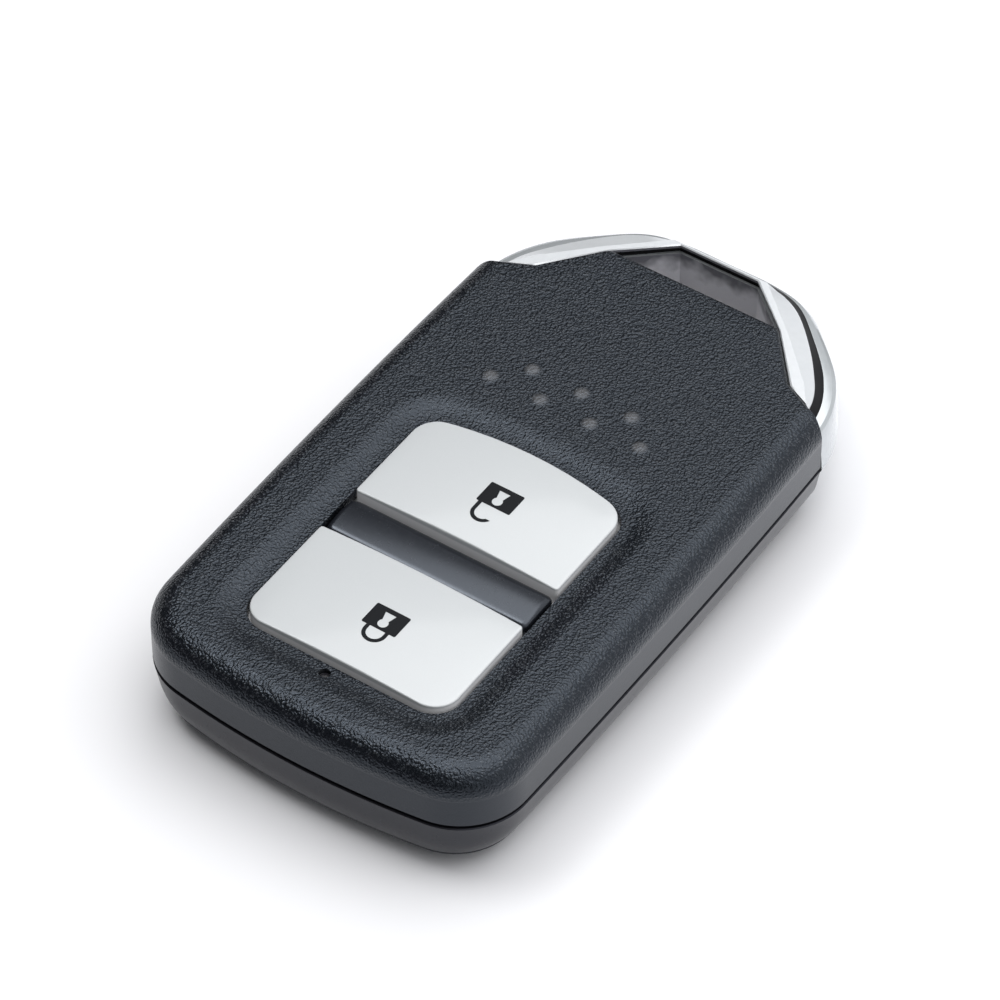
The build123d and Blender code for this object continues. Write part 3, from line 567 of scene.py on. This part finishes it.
def plain_finish(name, dark, light, size, roughness, depth=0, swing=0.15, detail=4.0, harsh=0.6,
                 **fixed):
    """A finish whose tone, gloss and fine relief all follow one noise."""
    finish = Finish(name, **fixed)
    noise = finish.noise(finish.place(), size, detail, harsh)
    links = {"Normal": finish.relief(noise, depth)} if depth else {}
    return finish.feed(Base_Color=finish.blend(noise, (*dark, 1), (*light, 1)),
                       Roughness=roughness + noise * swing, **links)


case_smooth = plain_finish("case_smooth", (0.008, 0.008, 0.010), (0.013, 0.012, 0.015), 3.0, 0.24,
                           0.005, swing=0.10, specular_tint=(0.80, 0.86, 1.0, 1),
                           specular_ior_level=0.4)
floor_z, channel_top_z, board_under_z = 1.5, 5.35, 5.95
openings = bmesh.new()
block(openings, -5.75, 5.75, 15.8, 30, 2.25, channel_top_z)
block(openings, -4.15, 6.15, 12.4, 17.1, -1, floor_z + 0.05)
finished(hoop(tray, ring_round=False), "lower_shell", "housing", "case_smooth", case_smooth, 28,
         "lower_case", cutter=openings)

fittings_low, post_reach, pin_reach = floor_z - 0.1, 1.6, 0.6
wall_x, half_wall, wall_near_y, wall_far_y = 4.15, 0.6, -29.2, 10.95
fittings = bmesh.new()
for x, y in ((13.2, -27.4), (14.2, 13.8)):
    for side in (-1, 1):
        rod(fittings, side * x, y, fittings_low, board_under_z, post_reach)
        rod(fittings, side * x, y, board_under_z - 0.1, board_under_z + 1.4, pin_reach)
for side in (-1, 1):
    block(fittings, side * wall_x - half_wall, side * wall_x + half_wall, wall_near_y, wall_far_y,
          fittings_low, channel_top_z)
wide = wall_x + half_wall
block(fittings, -wide, wide, wall_near_y, wall_near_y + 1, fittings_low, channel_top_z)
block(fittings, -wide, wide, wall_far_y - 1, wall_far_y, fittings_low, 2.3)
for rib_y in (11.7, 17.8):
    block(fittings, -wide, 9.4, rib_y - 0.4, rib_y + 0.4, fittings_low, 2.5)
block(fittings, 12.05, 13.05, 13.55, 15.95, fittings_low, 4.7)
finished(fittings, "lower_case_fittings", "housing", "case_smooth", case_smooth, 28)


# The two buttons are plastic caps, silvered on top, with a slight crown across the fob
# and a small radius round the top edge. Their sides are painted a much lighter white than
# their top: painted light, for the light that falls on them from the front. Each slides in
# the case's window.
def rounded(corners):
    """A closed outline from (x, y, radius) corners, with arcs where the radius isn't 0."""
    line = []
    for index, (x, y, radius) in enumerate(corners):
        corner = Vector((x, y))
        if not radius:
            line.append(corner)
            continue
        before = (Vector(corners[index - 1][:2]) - corner).normalized()
        after = (Vector(corners[(index + 1) % len(corners)][:2]) - corner).normalized()
        half_turn = before.angle(after) / 2
        centre = corner + (before + after).normalized() * radius / sin(half_turn)
        start = corner + before * radius / tan(half_turn) - centre
        sweep = pi - 2 * half_turn
        side = -1 if before.cross(after) > 0 else 1
        for step in range(corner_steps + 1):
            angle = side * sweep * step / corner_steps
            line.append(centre + Vector((start.x * cos(angle) - start.y * sin(angle),
                                         start.x * sin(angle) + start.y * cos(angle))))
    return line


def slab(outline, bottom, top, mesh=None):
    """A prism in millimetres on an outline, as a bmesh or added to one."""
    mesh = mesh or bmesh.new()
    ring = [mesh.verts.new((x, y, bottom)) for x, y in outline]
    face = mesh.faces.new(ring)
    raised = bmesh.ops.extrude_face_region(mesh, geom=[face])["geom"]
    bmesh.ops.translate(mesh, vec=(0, 0, top - bottom),
                        verts=[item for item in raised if isinstance(item, bmesh.types.BMVert)])
    return capped(mesh)


def round_top(mesh, level, radius, segments):
    """A radius on the edges that lie at a level."""
    edges = [edge for edge in mesh.edges
             if all(abs(vert.co.z - level) < weld for vert in edge.verts)]
    bmesh.ops.bevel(mesh, geom=edges, offset=radius, affect="EDGES", segments=segments,
                    profile=0.5, material=-1)


def sliced(mesh, place, across, **rest):
    """New edges where a plane crosses a bmesh."""
    bmesh.ops.bisect_plane(mesh, geom=[*mesh.verts, *mesh.edges, *mesh.faces], plane_co=place,
                           plane_no=across, **rest)


weld = 0.001
small_radius = 0.35
bar_near_y, bar_far_y = -16.65, -11.40
far_side_y = far_middle_y - far_bow
edge_top, crown, edge_radius = 13.2, 0.4, 0.15
skirt_depth = 2.0
lacquer = Finish("button_silver", coat_weight=0.5, coat_roughness=0.08)
pearl = lacquer.noise(lacquer.place(), 12.0, 3.0, 0.6)
# Below the top edge the cap is painted a much lighter white: painted light on its sides.
cap_face = lacquer.rise(lacquer.axes()[2], edge_top - 0.3, edge_top - 0.1)
silver = lacquer.blend(pearl, (0.51, 0.53, 0.54, 1), (0.57, 0.59, 0.60, 1))
button_silver = lacquer.feed(
    Base_Color=lacquer.blend(cap_face, (0.85, 0.85, 0.86, 1), silver),
    Metallic=cap_face * pearl * 0.1,
    Roughness=0.26 + pearl * 0.08,
)
flange_reach, flange_thickness = 0.55, 0.65
crown_steps = 24


def cap_outline(key, grow):
    """A button's outline grown outwards."""
    half, radius = half_width + grow, corner_radius + grow
    if key == "lock":
        near, far = near_edge_y - grow, bar_near_y + grow
        return rounded([(-half, near, radius), (half, near, radius), (half, far, small_radius),
                        (-half, far, small_radius)])
    near, side = bar_far_y - grow, far_side_y + grow
    bow = [(x, far_middle_y + grow - far_bow * (x / half) ** 2, 0)
           for x in (8, 6, 4, 2, 0, -2, -4, -6, -8)]
    return rounded([(-half, near, small_radius), (half, near, small_radius),
                    (half, side, radius), *bow, (-half, side, radius)])


for key in ("unlock", "lock"):
    cap = slab(cap_outline(key, 0), edge_top - skirt_depth, edge_top)
    round_top(cap, edge_top, edge_radius, 4)
    for step in range(1, crown_steps):
        cut_x = half_width * (2 * step / crown_steps - 1)
        sliced(cap, (cut_x, 0, 0), (1, 0, 0), dist=0.0001)
    for vert in cap.verts:
        share = (vert.co.z - edge_top + skirt_depth) / skirt_depth
        vert.co.z += share * crown * (1 - (vert.co.x / half_width) ** 2)
    slab(cap_outline(key, flange_reach), edge_top - skirt_depth - flange_thickness,
         edge_top - skirt_depth, cap)
    finished(cap, key + "_button_cap", key + "_key", "button_silver", button_silver, 25,
             key + "_button")

# The padlock symbols are printed in black ink that stands a hair proud of the lacquer.
# They keep the solids' own shapes.
symbol_ink = plain_finish("symbol_ink", (0.003, 0.004, 0.006), (0.006, 0.007, 0.009), 6.0, 0.35,
                          swing=0.1, detail=2.0, harsh=0.5, specular_ior_level=0.15)


def dress(finish, *nodes):
    """The CAD nodes' own shapes, shown in this finish."""
    for node in nodes:
        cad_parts[node].data.materials.clear()
        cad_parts[node].data.materials.append(finish)


dress(symbol_ink, "unlock_symbol", "lock_symbol")


# The bar between the buttons is satin black plastic with a low crown along it and
# rounded long edges. It is fixed in the upper case, and doesn't move.
bar_gap, bar_corner, bar_rounding = 0.2, 0.8, 0.6
bar_bottom, bar_top, bar_rise, bar_steps = 11.5, 12.9, 0.42, 12
bar_black = plain_finish("bar_black", (0.006, 0.007, 0.010), (0.010, 0.011, 0.014), 2.0, 0.22,
                         swing=0.08, detail=2.0, harsh=0.5, specular_tint=(0.80, 0.88, 1.0, 1),
                         specular_ior_level=0.75)
bar_near, bar_far = bar_near_y + bar_gap, bar_far_y - bar_gap
bar = slab(rounded([(side * half_width, y, bar_corner) for side, y in
                    ((-1, bar_near), (1, bar_near), (1, bar_far), (-1, bar_far))]),
           bar_bottom, bar_top)
round_top(bar, bar_top, bar_rounding, 6)
for step in range(1, bar_steps):
    cut_y = bar_near + (bar_far - bar_near) * step / bar_steps
    sliced(bar, (0, cut_y, 0), (0, 1, 0), dist=0.0001)
bar_middle = (bar_near + bar_far) / 2
for vert in bar.verts:
    if vert.co.z > bar_bottom + weld:
        off = (vert.co.y - bar_middle) / (bar_far - bar_near) * 2
        vert.co.z += bar_rise * (1 - off ** 2) - bar_rise
finished(bar, "divider_bar_skin", "cover", "bar_black", bar_black, 25, "divider_bar")


# The key head is a chromed loop of cast metal: a rounded rim outside, and a straight wall
# round the ring hole inside, left satin, with a painted reflection on it. The carrier's
# tongue holds it to the blade.
loop_end, hole_corner = Vector((14.75, 22.0)), Vector((4.3, 32.3))
gap = 0.15
stations = [((19.1, 21.7), (0.99, 0.12)), ((16.7, 27.1), (0.85, 0.53)),
            ((12.6, 32.2), (0.72, 0.69)), ((9.2, 34.85), (0.50, 0.87)),
            ((5.0, 36.3), (0.15, 0.99)), ((0.0, 36.6), (0.0, 1.0))]
start_x = 19.2
start_y = shoulder.y - 5.0
under_insets = [4.6, 3.3, 2.7, 2.4, 2.3, 2.3]
rim_insets = [0.5, 0.42, 1.15, 1.45, 2.05, 2.3]
foot_insets = [1.62, 1.55, 1.99, 1.95, 2.3, 2.5]
edge_insets = [2.28, 2.54, 2.84, 3.06, 3.5, 3.6]
loop_bottom, loop_top = 0.9, 10.95
lip_top, lip_width = 11.6, 0.28
under_profile = [(0.9, 1.0), (2.4, 0.55), (4.4, 0.2), (6.4, 0.0)]
over_profile = [(6.4, 0.0), (8.0, 0.25), (9.4, 0.52), (10.2, 0.75), (10.7, 1.0)]
station_steps = 24
corner_rows = [(0, 0.0), (3, 0.05), (26, 0.42), (48, 0.72), (64, 1.0)]


def along(line, share):
    """The point that far along a line of points, by length."""
    lengths = [(b - a).length for a, b in zip(line, line[1:])]
    left = share * sum(lengths)
    for a, b, length in zip(line, line[1:], lengths):
        if left <= length:
            return a + (b - a) * (left / length)
        left -= length
    return line[-1]


def outer_rows(insets):
    """The right half of the loop's outline inside the given insets, cut at the case."""
    points = [Vector((start_x - insets[0], start_y))]
    points += [Vector(place) - Vector(outward) * inset
               for (place, outward), inset in zip(stations, insets)]
    points.append(Vector((-points[-2].x, points[-2].y)))
    line = smooth_line(points, station_steps)[:-station_steps]
    slant = notch - shoulder
    across = Vector((-slant.y, slant.x)).normalized()
    limit = across.dot(shoulder) - gap * 1.3
    line = [point for point in line if across.dot(point) < limit]
    rows = []
    for (row, share), (next_row, next_share) in zip(corner_rows, corner_rows[1:]):
        for step in range(next_row - row):
            rows.append(along(line, share + (next_share - share) * step / (next_row - row)))
    return rows + [line[-1]]


def inner_rows(clearance, far_grow=None):
    """The right half of the line along the case and round the ring hole."""
    grow = clearance - gap
    far_y = hole_corner.y + (grow if far_grow is None else far_grow)
    corners = [loop_end + Vector((2 * grow, -slant_drop * 2 * grow)),
               notch + Vector((clearance, clearance)), nose + Vector((clearance, 0)),
               Vector((hole_corner.x + grow, far_y)), Vector((0, far_y))]
    rows = []
    for (row, _), (next_row, _), *ends in zip(corner_rows, corner_rows[1:], corners, corners[1:]):
        rows += spread(*ends, next_row - row)
    return rows + [corners[-1]]


def profile_levels(profile, insets, steps):
    """Outline lines up a smooth profile of (height, share of the insets)."""
    return [(outer_rows([inset * share for inset in insets]), z)
            for z, share in smooth_line(profile, steps)]


head_chrome = plain_finish("head_chrome", (0.45, 0.475, 0.49), (0.52, 0.545, 0.56), 1.5, 0.10,
                           swing=0.06, detail=3.0, harsh=0.5, metallic=0.55)
inner = Finish("head_chrome_inner")
# The hole's wall is painted nearly white low down and dark higher up, with a ragged edge: a painted
# reflection of the white table under the dark nose.
uneven = inner.noise(inner.place(), 0.45, 2.0, 0.5)
reflected_dark_share = inner.rise(inner.axes()[2] + uneven * 4, 11.6, 13.2)
cast = inner.noise(inner.place(), 5.0, 3.0, 0.6)
head_inner = inner.feed(
    Base_Color=inner.blend(reflected_dark_share, (0.95, 0.94, 1.0, 1), (0.22, 0.22, 0.25, 1)),
    Roughness=0.38 + cast * 0.15,
    Normal=inner.relief(cast, 0.03),
)
loop_section = profile_levels(under_profile, under_insets, 5)
loop_section += profile_levels(over_profile, rim_insets, 5)[1:]
turn_insets = [rim + (foot - rim) * 0.3 for rim, foot in zip(rim_insets, foot_insets)]
loop_section += [(outer_rows(turn_insets), loop_top - 0.07), (outer_rows(foot_insets), loop_top),
                 (inner_rows(gap + lip_width), loop_top),
                 (inner_rows(gap + lip_width), lip_top),
                 (inner_rows(gap), lip_top),
                 (inner_rows(gap), loop_bottom + edge_break),
                 (inner_rows(gap + edge_break), loop_bottom)]
loop = finished(hoop(loop_section), "key_head_loop", "emergency_key", "head_chrome",
                head_chrome, 20, "key_head_frame")


def face_hole(piece):
    """The satin finish, with its painted reflection, on the faces that look into the ring hole."""
    piece.data.materials.append(head_inner)
    for face in piece.data.polygons:
        x, y, _ = face.center / MM
        if abs(face.normal.z) < 0.1 and abs(x) < nose.x + gap and y < hole_corner.y + gap:
            face.material_index = 1


face_hole(loop)


# The black strip round the head is a moulded plastic band that the cover plate sits on.
# It is set back from the ring hole, where it reads as a dark groove.
strip_bottom, strip_top, strip_inner_top = 10.95, 11.9, 12.3
strip_recess = 0.3
strip_section = [(outer_rows(foot_insets), strip_bottom), (outer_rows(edge_insets), strip_top),
                 (inner_rows(gap + strip_recess), strip_inner_top),
                 (inner_rows(gap + strip_recess), strip_bottom)]
inlay_black = plain_finish("inlay_black", (0.003, 0.003, 0.004), (0.006, 0.006, 0.007), 4.0, 0.45,
                           swing=0.1, detail=2.0, harsh=0.5, specular_ior_level=0.15)
finished(hoop(strip_section), "key_head_strip", "emergency_key", "inlay_black",
         inlay_black, 20, "key_head_inlay")


# The cover plate has a satin chrome finish. A level land runs along its inner edge, a
# wide bevel falls outwards from it, and a short upright edge stands above the strip.
plate_edge_top, plate_top, plate_under = 12.2, 12.7, 12.32
land_width, far_land_width = 0.9, 0.25
cover_chrome = plain_finish("cover_plate_chrome", (0.64, 0.66, 0.68), (0.70, 0.72, 0.74), 1.5,
                            0.20, swing=0.08, detail=3.0, harsh=0.5, metallic=0.3)
plate_break = 0.1
plate_section = [
    (outer_rows(edge_insets), strip_top),
    (outer_rows(edge_insets), plate_edge_top - plate_break),
    (outer_rows([inset + plate_break for inset in edge_insets]), plate_edge_top),
    (inner_rows(gap + land_width, far_land_width), plate_top),
    (inner_rows(gap + plate_break), plate_top),
    (inner_rows(gap), plate_top - plate_break),
    (inner_rows(gap), plate_under),
    (inner_rows(gap + strip_recess), plate_under),
]
plate = finished(hoop(plate_section), "key_head_plate", "emergency_key",
                 "cover_plate_chrome", cover_chrome, 12, "key_head_cover")
face_hole(plate)


# The seal is a thin rubber ring that lies round the lower case's lip. The upper case
# squeezes it, and so keeps water out.
dress(plain_finish("seal_rubber", (0.012, 0.012, 0.013), (0.028, 0.028, 0.030), 3.0, 0.60, 0.02,
                   specular_ior_level=0.3), "case_seal")

# The membrane is a sheet of silicone rubber under the buttons, with a pad and a post over
# each switch. Its two halves meet under the bar.
rubber = plain_finish("membrane_rubber", (0.055, 0.058, 0.062), (0.085, 0.088, 0.094), 5.0, 0.55,
                      0.01, specular_ior_level=0.35)
sheet_low, pad_high, pad_half_width, pad_half_length = 9.75, 10.5, 6.0, 3.0
post_radius, overlap, clearance, pipe_clearance, give = 1.4, 0.05, 0.1, 0.15, 0.45
pipe_low, pipe_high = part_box("indicator_light_pipe")
pipe_radius = (pipe_high.x - pipe_low.x) / 2 / MM
for key, side in (("unlock", 1), ("lock", -1)):
    right = window_ring(skirt_reach)
    half = slab(right + [Vector((-point.x, point.y)) for point in right[-2:0:-1]], sheet_low,
                skirt_low)
    sliced(half, (0, bar_middle, 0), (0, -side, 0), clear_outer=True)
    capped(half)
    stem_low, stem_high = [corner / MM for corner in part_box(key + "_switch_stem")]
    switch_y = (stem_low.y + stem_high.y) / 2
    block(half, -pad_half_width, pad_half_width, switch_y - pad_half_length,
          switch_y + pad_half_length, skirt_low - overlap, pad_high)
    rod(half, 0, switch_y, stem_high.z + clearance, sheet_low + overlap, post_radius)
    pipe_way = None
    if key == "lock":
        pipe_way = bmesh.new()
        rod(pipe_way, light_x, light_y, sheet_low - 1, pad_high + 1, pipe_radius + pipe_clearance)
    piece = finished(half, key + "_membrane", "cover", "membrane_rubber", rubber, 28,
                     "button_membrane", cutter=pipe_way)
    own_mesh(piece)

# The light pipe is a post of acrylic that carries the indicator's light up to the small
# hole. It is coloured near black, so from outside it is a dark, glossy point.
dress(plain_finish("light_pipe_clear", (0.010, 0.010, 0.012), (0.018, 0.017, 0.020), 1.0, 0.05,
                   coat_weight=0.6), "indicator_light_pipe")

# The circuit board is glass fibre under a green mask, with copper tracks and plated holes,
# and bare fibre along its cut edge. It drops over four pins of the lower case.
board_middle_z, board_half = 6.45, 0.5
mask = Finish("board_green")
x, y, z = mask.axes()
where = mask.place()
on_face = mask.rise(abs(z - board_middle_z), board_half - 0.02, board_half - 0.01)
track_pitch = 0.8


def stripes(value, width):
    """One on evenly spaced lines of that width in millimetres, and nought between them."""
    off = abs((value / track_pitch).through("FRACT") - 0.5) * track_pitch
    return 1 - mask.rise(off, width / 2, width / 2 + 0.03)


run_along = mask.rise(mask.noise(where, 0.10, 0.0), 0.49, 0.51)
routed = mask.rise(mask.noise(where, 0.30, 0.0), 0.44, 0.46)
tracks = routed * (run_along * stripes(x, 0.25) + (1 - run_along) * stripes(y, 0.25))
hole_spacing = 0.30
hole_off = mask.add("ShaderNodeTexVoronoi", {"voronoi_dimensions": "2D"},
                    {"Vector": where, "Scale": hole_spacing}) / hole_spacing
# Inside each plated ring the hole's centre is painted black: painted shade in place of the open
# hole.
plated = on_face * (1 - mask.rise(hole_off, 0.34, 0.36))
drilled = mask.rise(hole_off, 0.14, 0.17)
masked = mask.blend(tracks, (0.006, 0.060, 0.026, 1), (0.018, 0.130, 0.050, 1))
ringed = mask.blend(plated, masked, (0.72, 0.62, 0.40, 1))
board_green = mask.feed(
    Base_Color=mask.blend(on_face, (0.30, 0.29, 0.14, 1),
                          mask.blend(plated * (1 - drilled), ringed, (0.02, 0.02, 0.02, 1))),
    Metallic=plated * drilled,
    Roughness=0.62 - on_face * 0.34,
    Normal=mask.relief(tracks + plated, 0.03),
)
dress(board_green, "circuit_board")

# Each push switch is a small black base under a bright tin can, with a black plunger.
# The light is a tiny diode with a milky yellow body between two tinned ends.
board_top_z = 6.95
can = Finish("switch_can")
_, _, z = can.axes()
tinned = can.rise(z, board_top_z + 0.40, board_top_z + 0.43)
smear = can.noise(can.place(), 3.0, 4.0, 0.6)
dress(can.feed(Base_Color=can.blend(tinned, (0.012, 0.012, 0.013, 1), (0.62, 0.62, 0.60, 1)),
               Metallic=tinned, Roughness=0.55 - tinned * 0.30 + smear * 0.12,
               Normal=can.relief(smear, 0.01)), "unlock_switch_body", "lock_switch_body")
dress(plain_finish("switch_stem_plastic", (0.014, 0.014, 0.015), (0.024, 0.024, 0.026), 6.0, 0.40,
                   0.008), "unlock_switch_stem", "lock_switch_stem")
diode = Finish("led_body")
x, _, _ = diode.axes()
ends = diode.rise(abs(x - light_x), 0.52, 0.55)
milk = diode.noise(diode.place(), 4.0)
dress(diode.feed(Base_Color=diode.blend(ends, (0.78, 0.70, 0.36, 1), (0.70, 0.70, 0.68, 1)),
                 Metallic=ends, Roughness=0.22 + milk * 0.15), "indicator_led")

# The coin cell is a drawn steel can, crimped round its edge over a dark gasket and a
# smaller cap underneath. It lies in a plastic ring, between two sprung contacts.
cell_y, cell_low, cell_high = 6.6, 7.2, 9.7
cell = bmesh.new()
outline = [(0, cell_high), (9.55, cell_high), (9.82, cell_high - 0.07), (9.97, cell_high - 0.22),
           (10.0, cell_high - 0.40), (10.0, cell_low + 0.80), (9.92, cell_low + 0.62),
           (9.70, cell_low + 0.50), (9.0, cell_low + 0.50), (8.92, cell_low + 0.42),
           (8.80, cell_low + 0.42), (8.80, cell_low + 0.12), (8.68, cell_low), (0, cell_low)]
points = [cell.verts.new((x, cell_y, z)) for x, z in outline]
rim_line = [cell.edges.new(pair) for pair in zip(points, points[1:])]
bmesh.ops.spin(cell, geom=[*points, *rim_line], cent=(0, cell_y, 0), axis=(0, 0, 1), angle=2 * pi,
               steps=96, use_merge=True)
bmesh.ops.remove_doubles(cell, verts=cell.verts, dist=weld)
drawn = Finish("cell_steel")
x, y, z = drawn.axes()
radius = (x * x + (y - cell_y) * (y - cell_y)).through("SQRT")
wear = drawn.noise(drawn.place(), 0.8, 4.0, 0.6)
gasket = (drawn.rise(radius, 8.84, 8.86) * (1 - drawn.rise(radius, 9.02, 9.04))
          * (1 - drawn.rise(z, cell_low + 0.55, cell_low + 0.6)))
turned = (radius * 22).through("SINE")
cell_steel = drawn.feed(
    Base_Color=drawn.blend(gasket, drawn.blend(wear, (0.56, 0.56, 0.54, 1), (0.68, 0.68, 0.66, 1)),
                           (0.02, 0.02, 0.02, 1)),
    Metallic=1 - gasket,
    Roughness=0.20 + wear * 0.15,
    Normal=drawn.relief(turned, 0.004),
)
finished(capped(cell), "coin_cell_can", "housing", "cell_steel", cell_steel, 25, "coin_cell")
dress(plain_finish("holder_plastic", (0.020, 0.020, 0.022), (0.034, 0.034, 0.037), 4.0, 0.45,
                   0.012), "battery_holder")
dress(plain_finish("contact_brass", (0.62, 0.47, 0.22), (0.74, 0.58, 0.30), 2.0, 0.20, 0.006,
                   metallic=1.0), "battery_contact_negative")
dress(plain_finish("contact_steel", (0.56, 0.56, 0.55), (0.68, 0.68, 0.67), 2.0, 0.22, 0.006,
                   metallic=1.0), "battery_contact_positive")

# The two chips are black epoxy blocks with tinned pads low on their sides and a dimple at
# one corner. The crystal is a seam-welded steel can beside them.
epoxy = Finish("chip_black", specular_ior_level=0.4)
x, y, z = epoxy.axes()
filler = epoxy.noise(epoxy.place(), 9.0, 4.0, 0.7)
epoxy_black = epoxy.blend(filler, (0.010, 0.010, 0.011, 1), (0.026, 0.026, 0.028, 1))
pad_pitch = 0.5
pads = ((1 - epoxy.rise(z, board_top_z + 0.16, board_top_z + 0.18))
        * epoxy.rise(abs(((x + y) / pad_pitch).through("FRACT") - 0.5), 0.24, 0.27))
corner_marks = []
for mark_x, mark_y in ((-11.6, -25.6), (-12.7, -14.3)):
    off_x, off_y = x - mark_x, y - mark_y
    corner_marks.append((off_x * off_x + off_y * off_y).through("SQRT"))
dimple = 1 - epoxy.rise(corner_marks[0].through("MINIMUM", corner_marks[1]), 0.30, 0.36)
chip_black = epoxy.feed(
    Base_Color=epoxy.blend(pads, epoxy_black, (0.70, 0.70, 0.68, 1)),
    Metallic=pads,
    Roughness=0.62 - dimple * 0.35 - pads * 0.3,
    Normal=epoxy.relief(filler * 0.3 - dimple, 0.03),
)
dress(chip_black, "controller_chip", "radio_chip")
dress(plain_finish("crystal_steel", (0.60, 0.60, 0.59), (0.70, 0.70, 0.69), 1.5, 0.18, 0.005,
                   metallic=1.0), "crystal_can")

# The antenna is a ferrite bar wound with enamelled copper wire, for the car's short-range
# call. The small ceramic capacitors stand in two rows, with a tinned end on each.
dress(plain_finish("ferrite", (0.022, 0.022, 0.024), (0.040, 0.040, 0.043), 4.0, 0.55, 0.015),
      "antenna_core")
enamel = Finish("winding_copper", metallic=0.9)
_, y, _ = enamel.axes()
wire_pitch = 0.22
# The wire is painted lighter along each turn's crest and darker in the groove between turns:
# painted highlight and shade over the relief.
turns = ((y * (2 * pi / wire_pitch)).through("SINE") + 1) / 2
uneven = enamel.noise(enamel.place(), 1.2)
dress(enamel.feed(Base_Color=enamel.blend(turns * 0.6 + uneven * 0.4, (0.26, 0.09, 0.035, 1),
                                          (0.72, 0.33, 0.16, 1)),
                  Roughness=0.28 + uneven * 0.12, Normal=enamel.relief(turns, 0.09)),
      "antenna_winding")
ceramic = Finish("capacitor_ceramic")
_, y, _ = ceramic.axes()
row_pitch, first_row_y, half_body = 3.0, -29.0, 0.48
off_row = (((y - first_row_y) / row_pitch + 0.5).through("FRACT") - 0.5) * row_pitch
tinned_end = ceramic.rise(abs(off_row), half_body, half_body + 0.03)
fired = ceramic.noise(ceramic.place(), 5.0)
brown, tin = (0.42, 0.30, 0.19, 1), (0.70, 0.70, 0.68, 1)
dress(ceramic.feed(Base_Color=ceramic.blend(tinned_end, brown, tin), Metallic=tinned_end,
                   Roughness=0.34 + fired * 0.12), "chip_capacitors")

# A plastic strip closes the channel of the emergency key under the board. The key's black
# carrier grips the steel blade, which a cross pin holds, and slides into that channel.
dress(plain_finish("channel_cover_plastic", (0.050, 0.050, 0.054), (0.070, 0.070, 0.075), 4.0,
                   0.50, 0.012), "blade_channel_cover")
dress(plain_finish("carrier_plastic", (0.008, 0.008, 0.009), (0.015, 0.015, 0.016), 5.0, 0.36,
                   0.015), "key_carrier")
steel = Finish("blade_steel", metallic=1.0)
drawn_out = steel.add("ShaderNodeVectorMath", {"operation": "MULTIPLY"},
                      {0: steel.place(), 1: (14.0, 0.5, 14.0)})
scratches = steel.noise(drawn_out, 1.0, 4.0, 0.6)
dress(steel.feed(Base_Color=steel.blend(scratches, (0.50, 0.50, 0.49, 1), (0.66, 0.66, 0.65, 1)),
                 Roughness=0.22 + scratches * 0.14, Normal=steel.relief(scratches, 0.01)),
      "key_blade")
dress(plain_finish("pin_steel", (0.46, 0.46, 0.46), (0.60, 0.60, 0.60), 3.0, 0.22, 0.005,
                   metallic=1.0), "blade_pin")

# The release latch is a ribbed black slider in the back. Its nib holds the notch of the
# carrier's tongue.
dress(plain_finish("latch_plastic", (0.009, 0.009, 0.010), (0.017, 0.017, 0.018), 6.0, 0.38, 0.012),
      "release_latch")

# A coil of steel wire between the latch's post and a wall of the lower case pushes the
# latch home.
spring_wire, spring_turns, turn_steps = 0.15, 6, 20
low, high = [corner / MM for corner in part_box("latch_spring")]
spring_middle = (low + high) / 2
run = high.x - low.x - 2 * spring_wire
coil = bmesh.new()
wire_end = bmesh.ops.create_circle(coil, segments=10, radius=spring_wire)["verts"]
bmesh.ops.rotate(coil, verts=wire_end, matrix=Matrix.Rotation(pi / 2, 3, "X"))
bmesh.ops.translate(coil, verts=wire_end, vec=(low.x + spring_wire, spring_middle.y,
                                               high.z - spring_wire))
bmesh.ops.spin(coil, geom=[*coil.verts, *coil.edges], cent=(low.x, *spring_middle.yz),
               axis=(1, 0, 0), dvec=(run / spring_turns / turn_steps, 0, 0),
               angle=spring_turns * 2 * pi, steps=spring_turns * turn_steps)
spring = finished(capped(coil), "latch_spring_coil", "housing", "spring_steel",
                  plain_finish("spring_steel", (0.44, 0.44, 0.44), (0.60, 0.60, 0.60), 5.0, 0.22,
                               0.004, metallic=1.0), 40, "latch_spring")
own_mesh(spring)
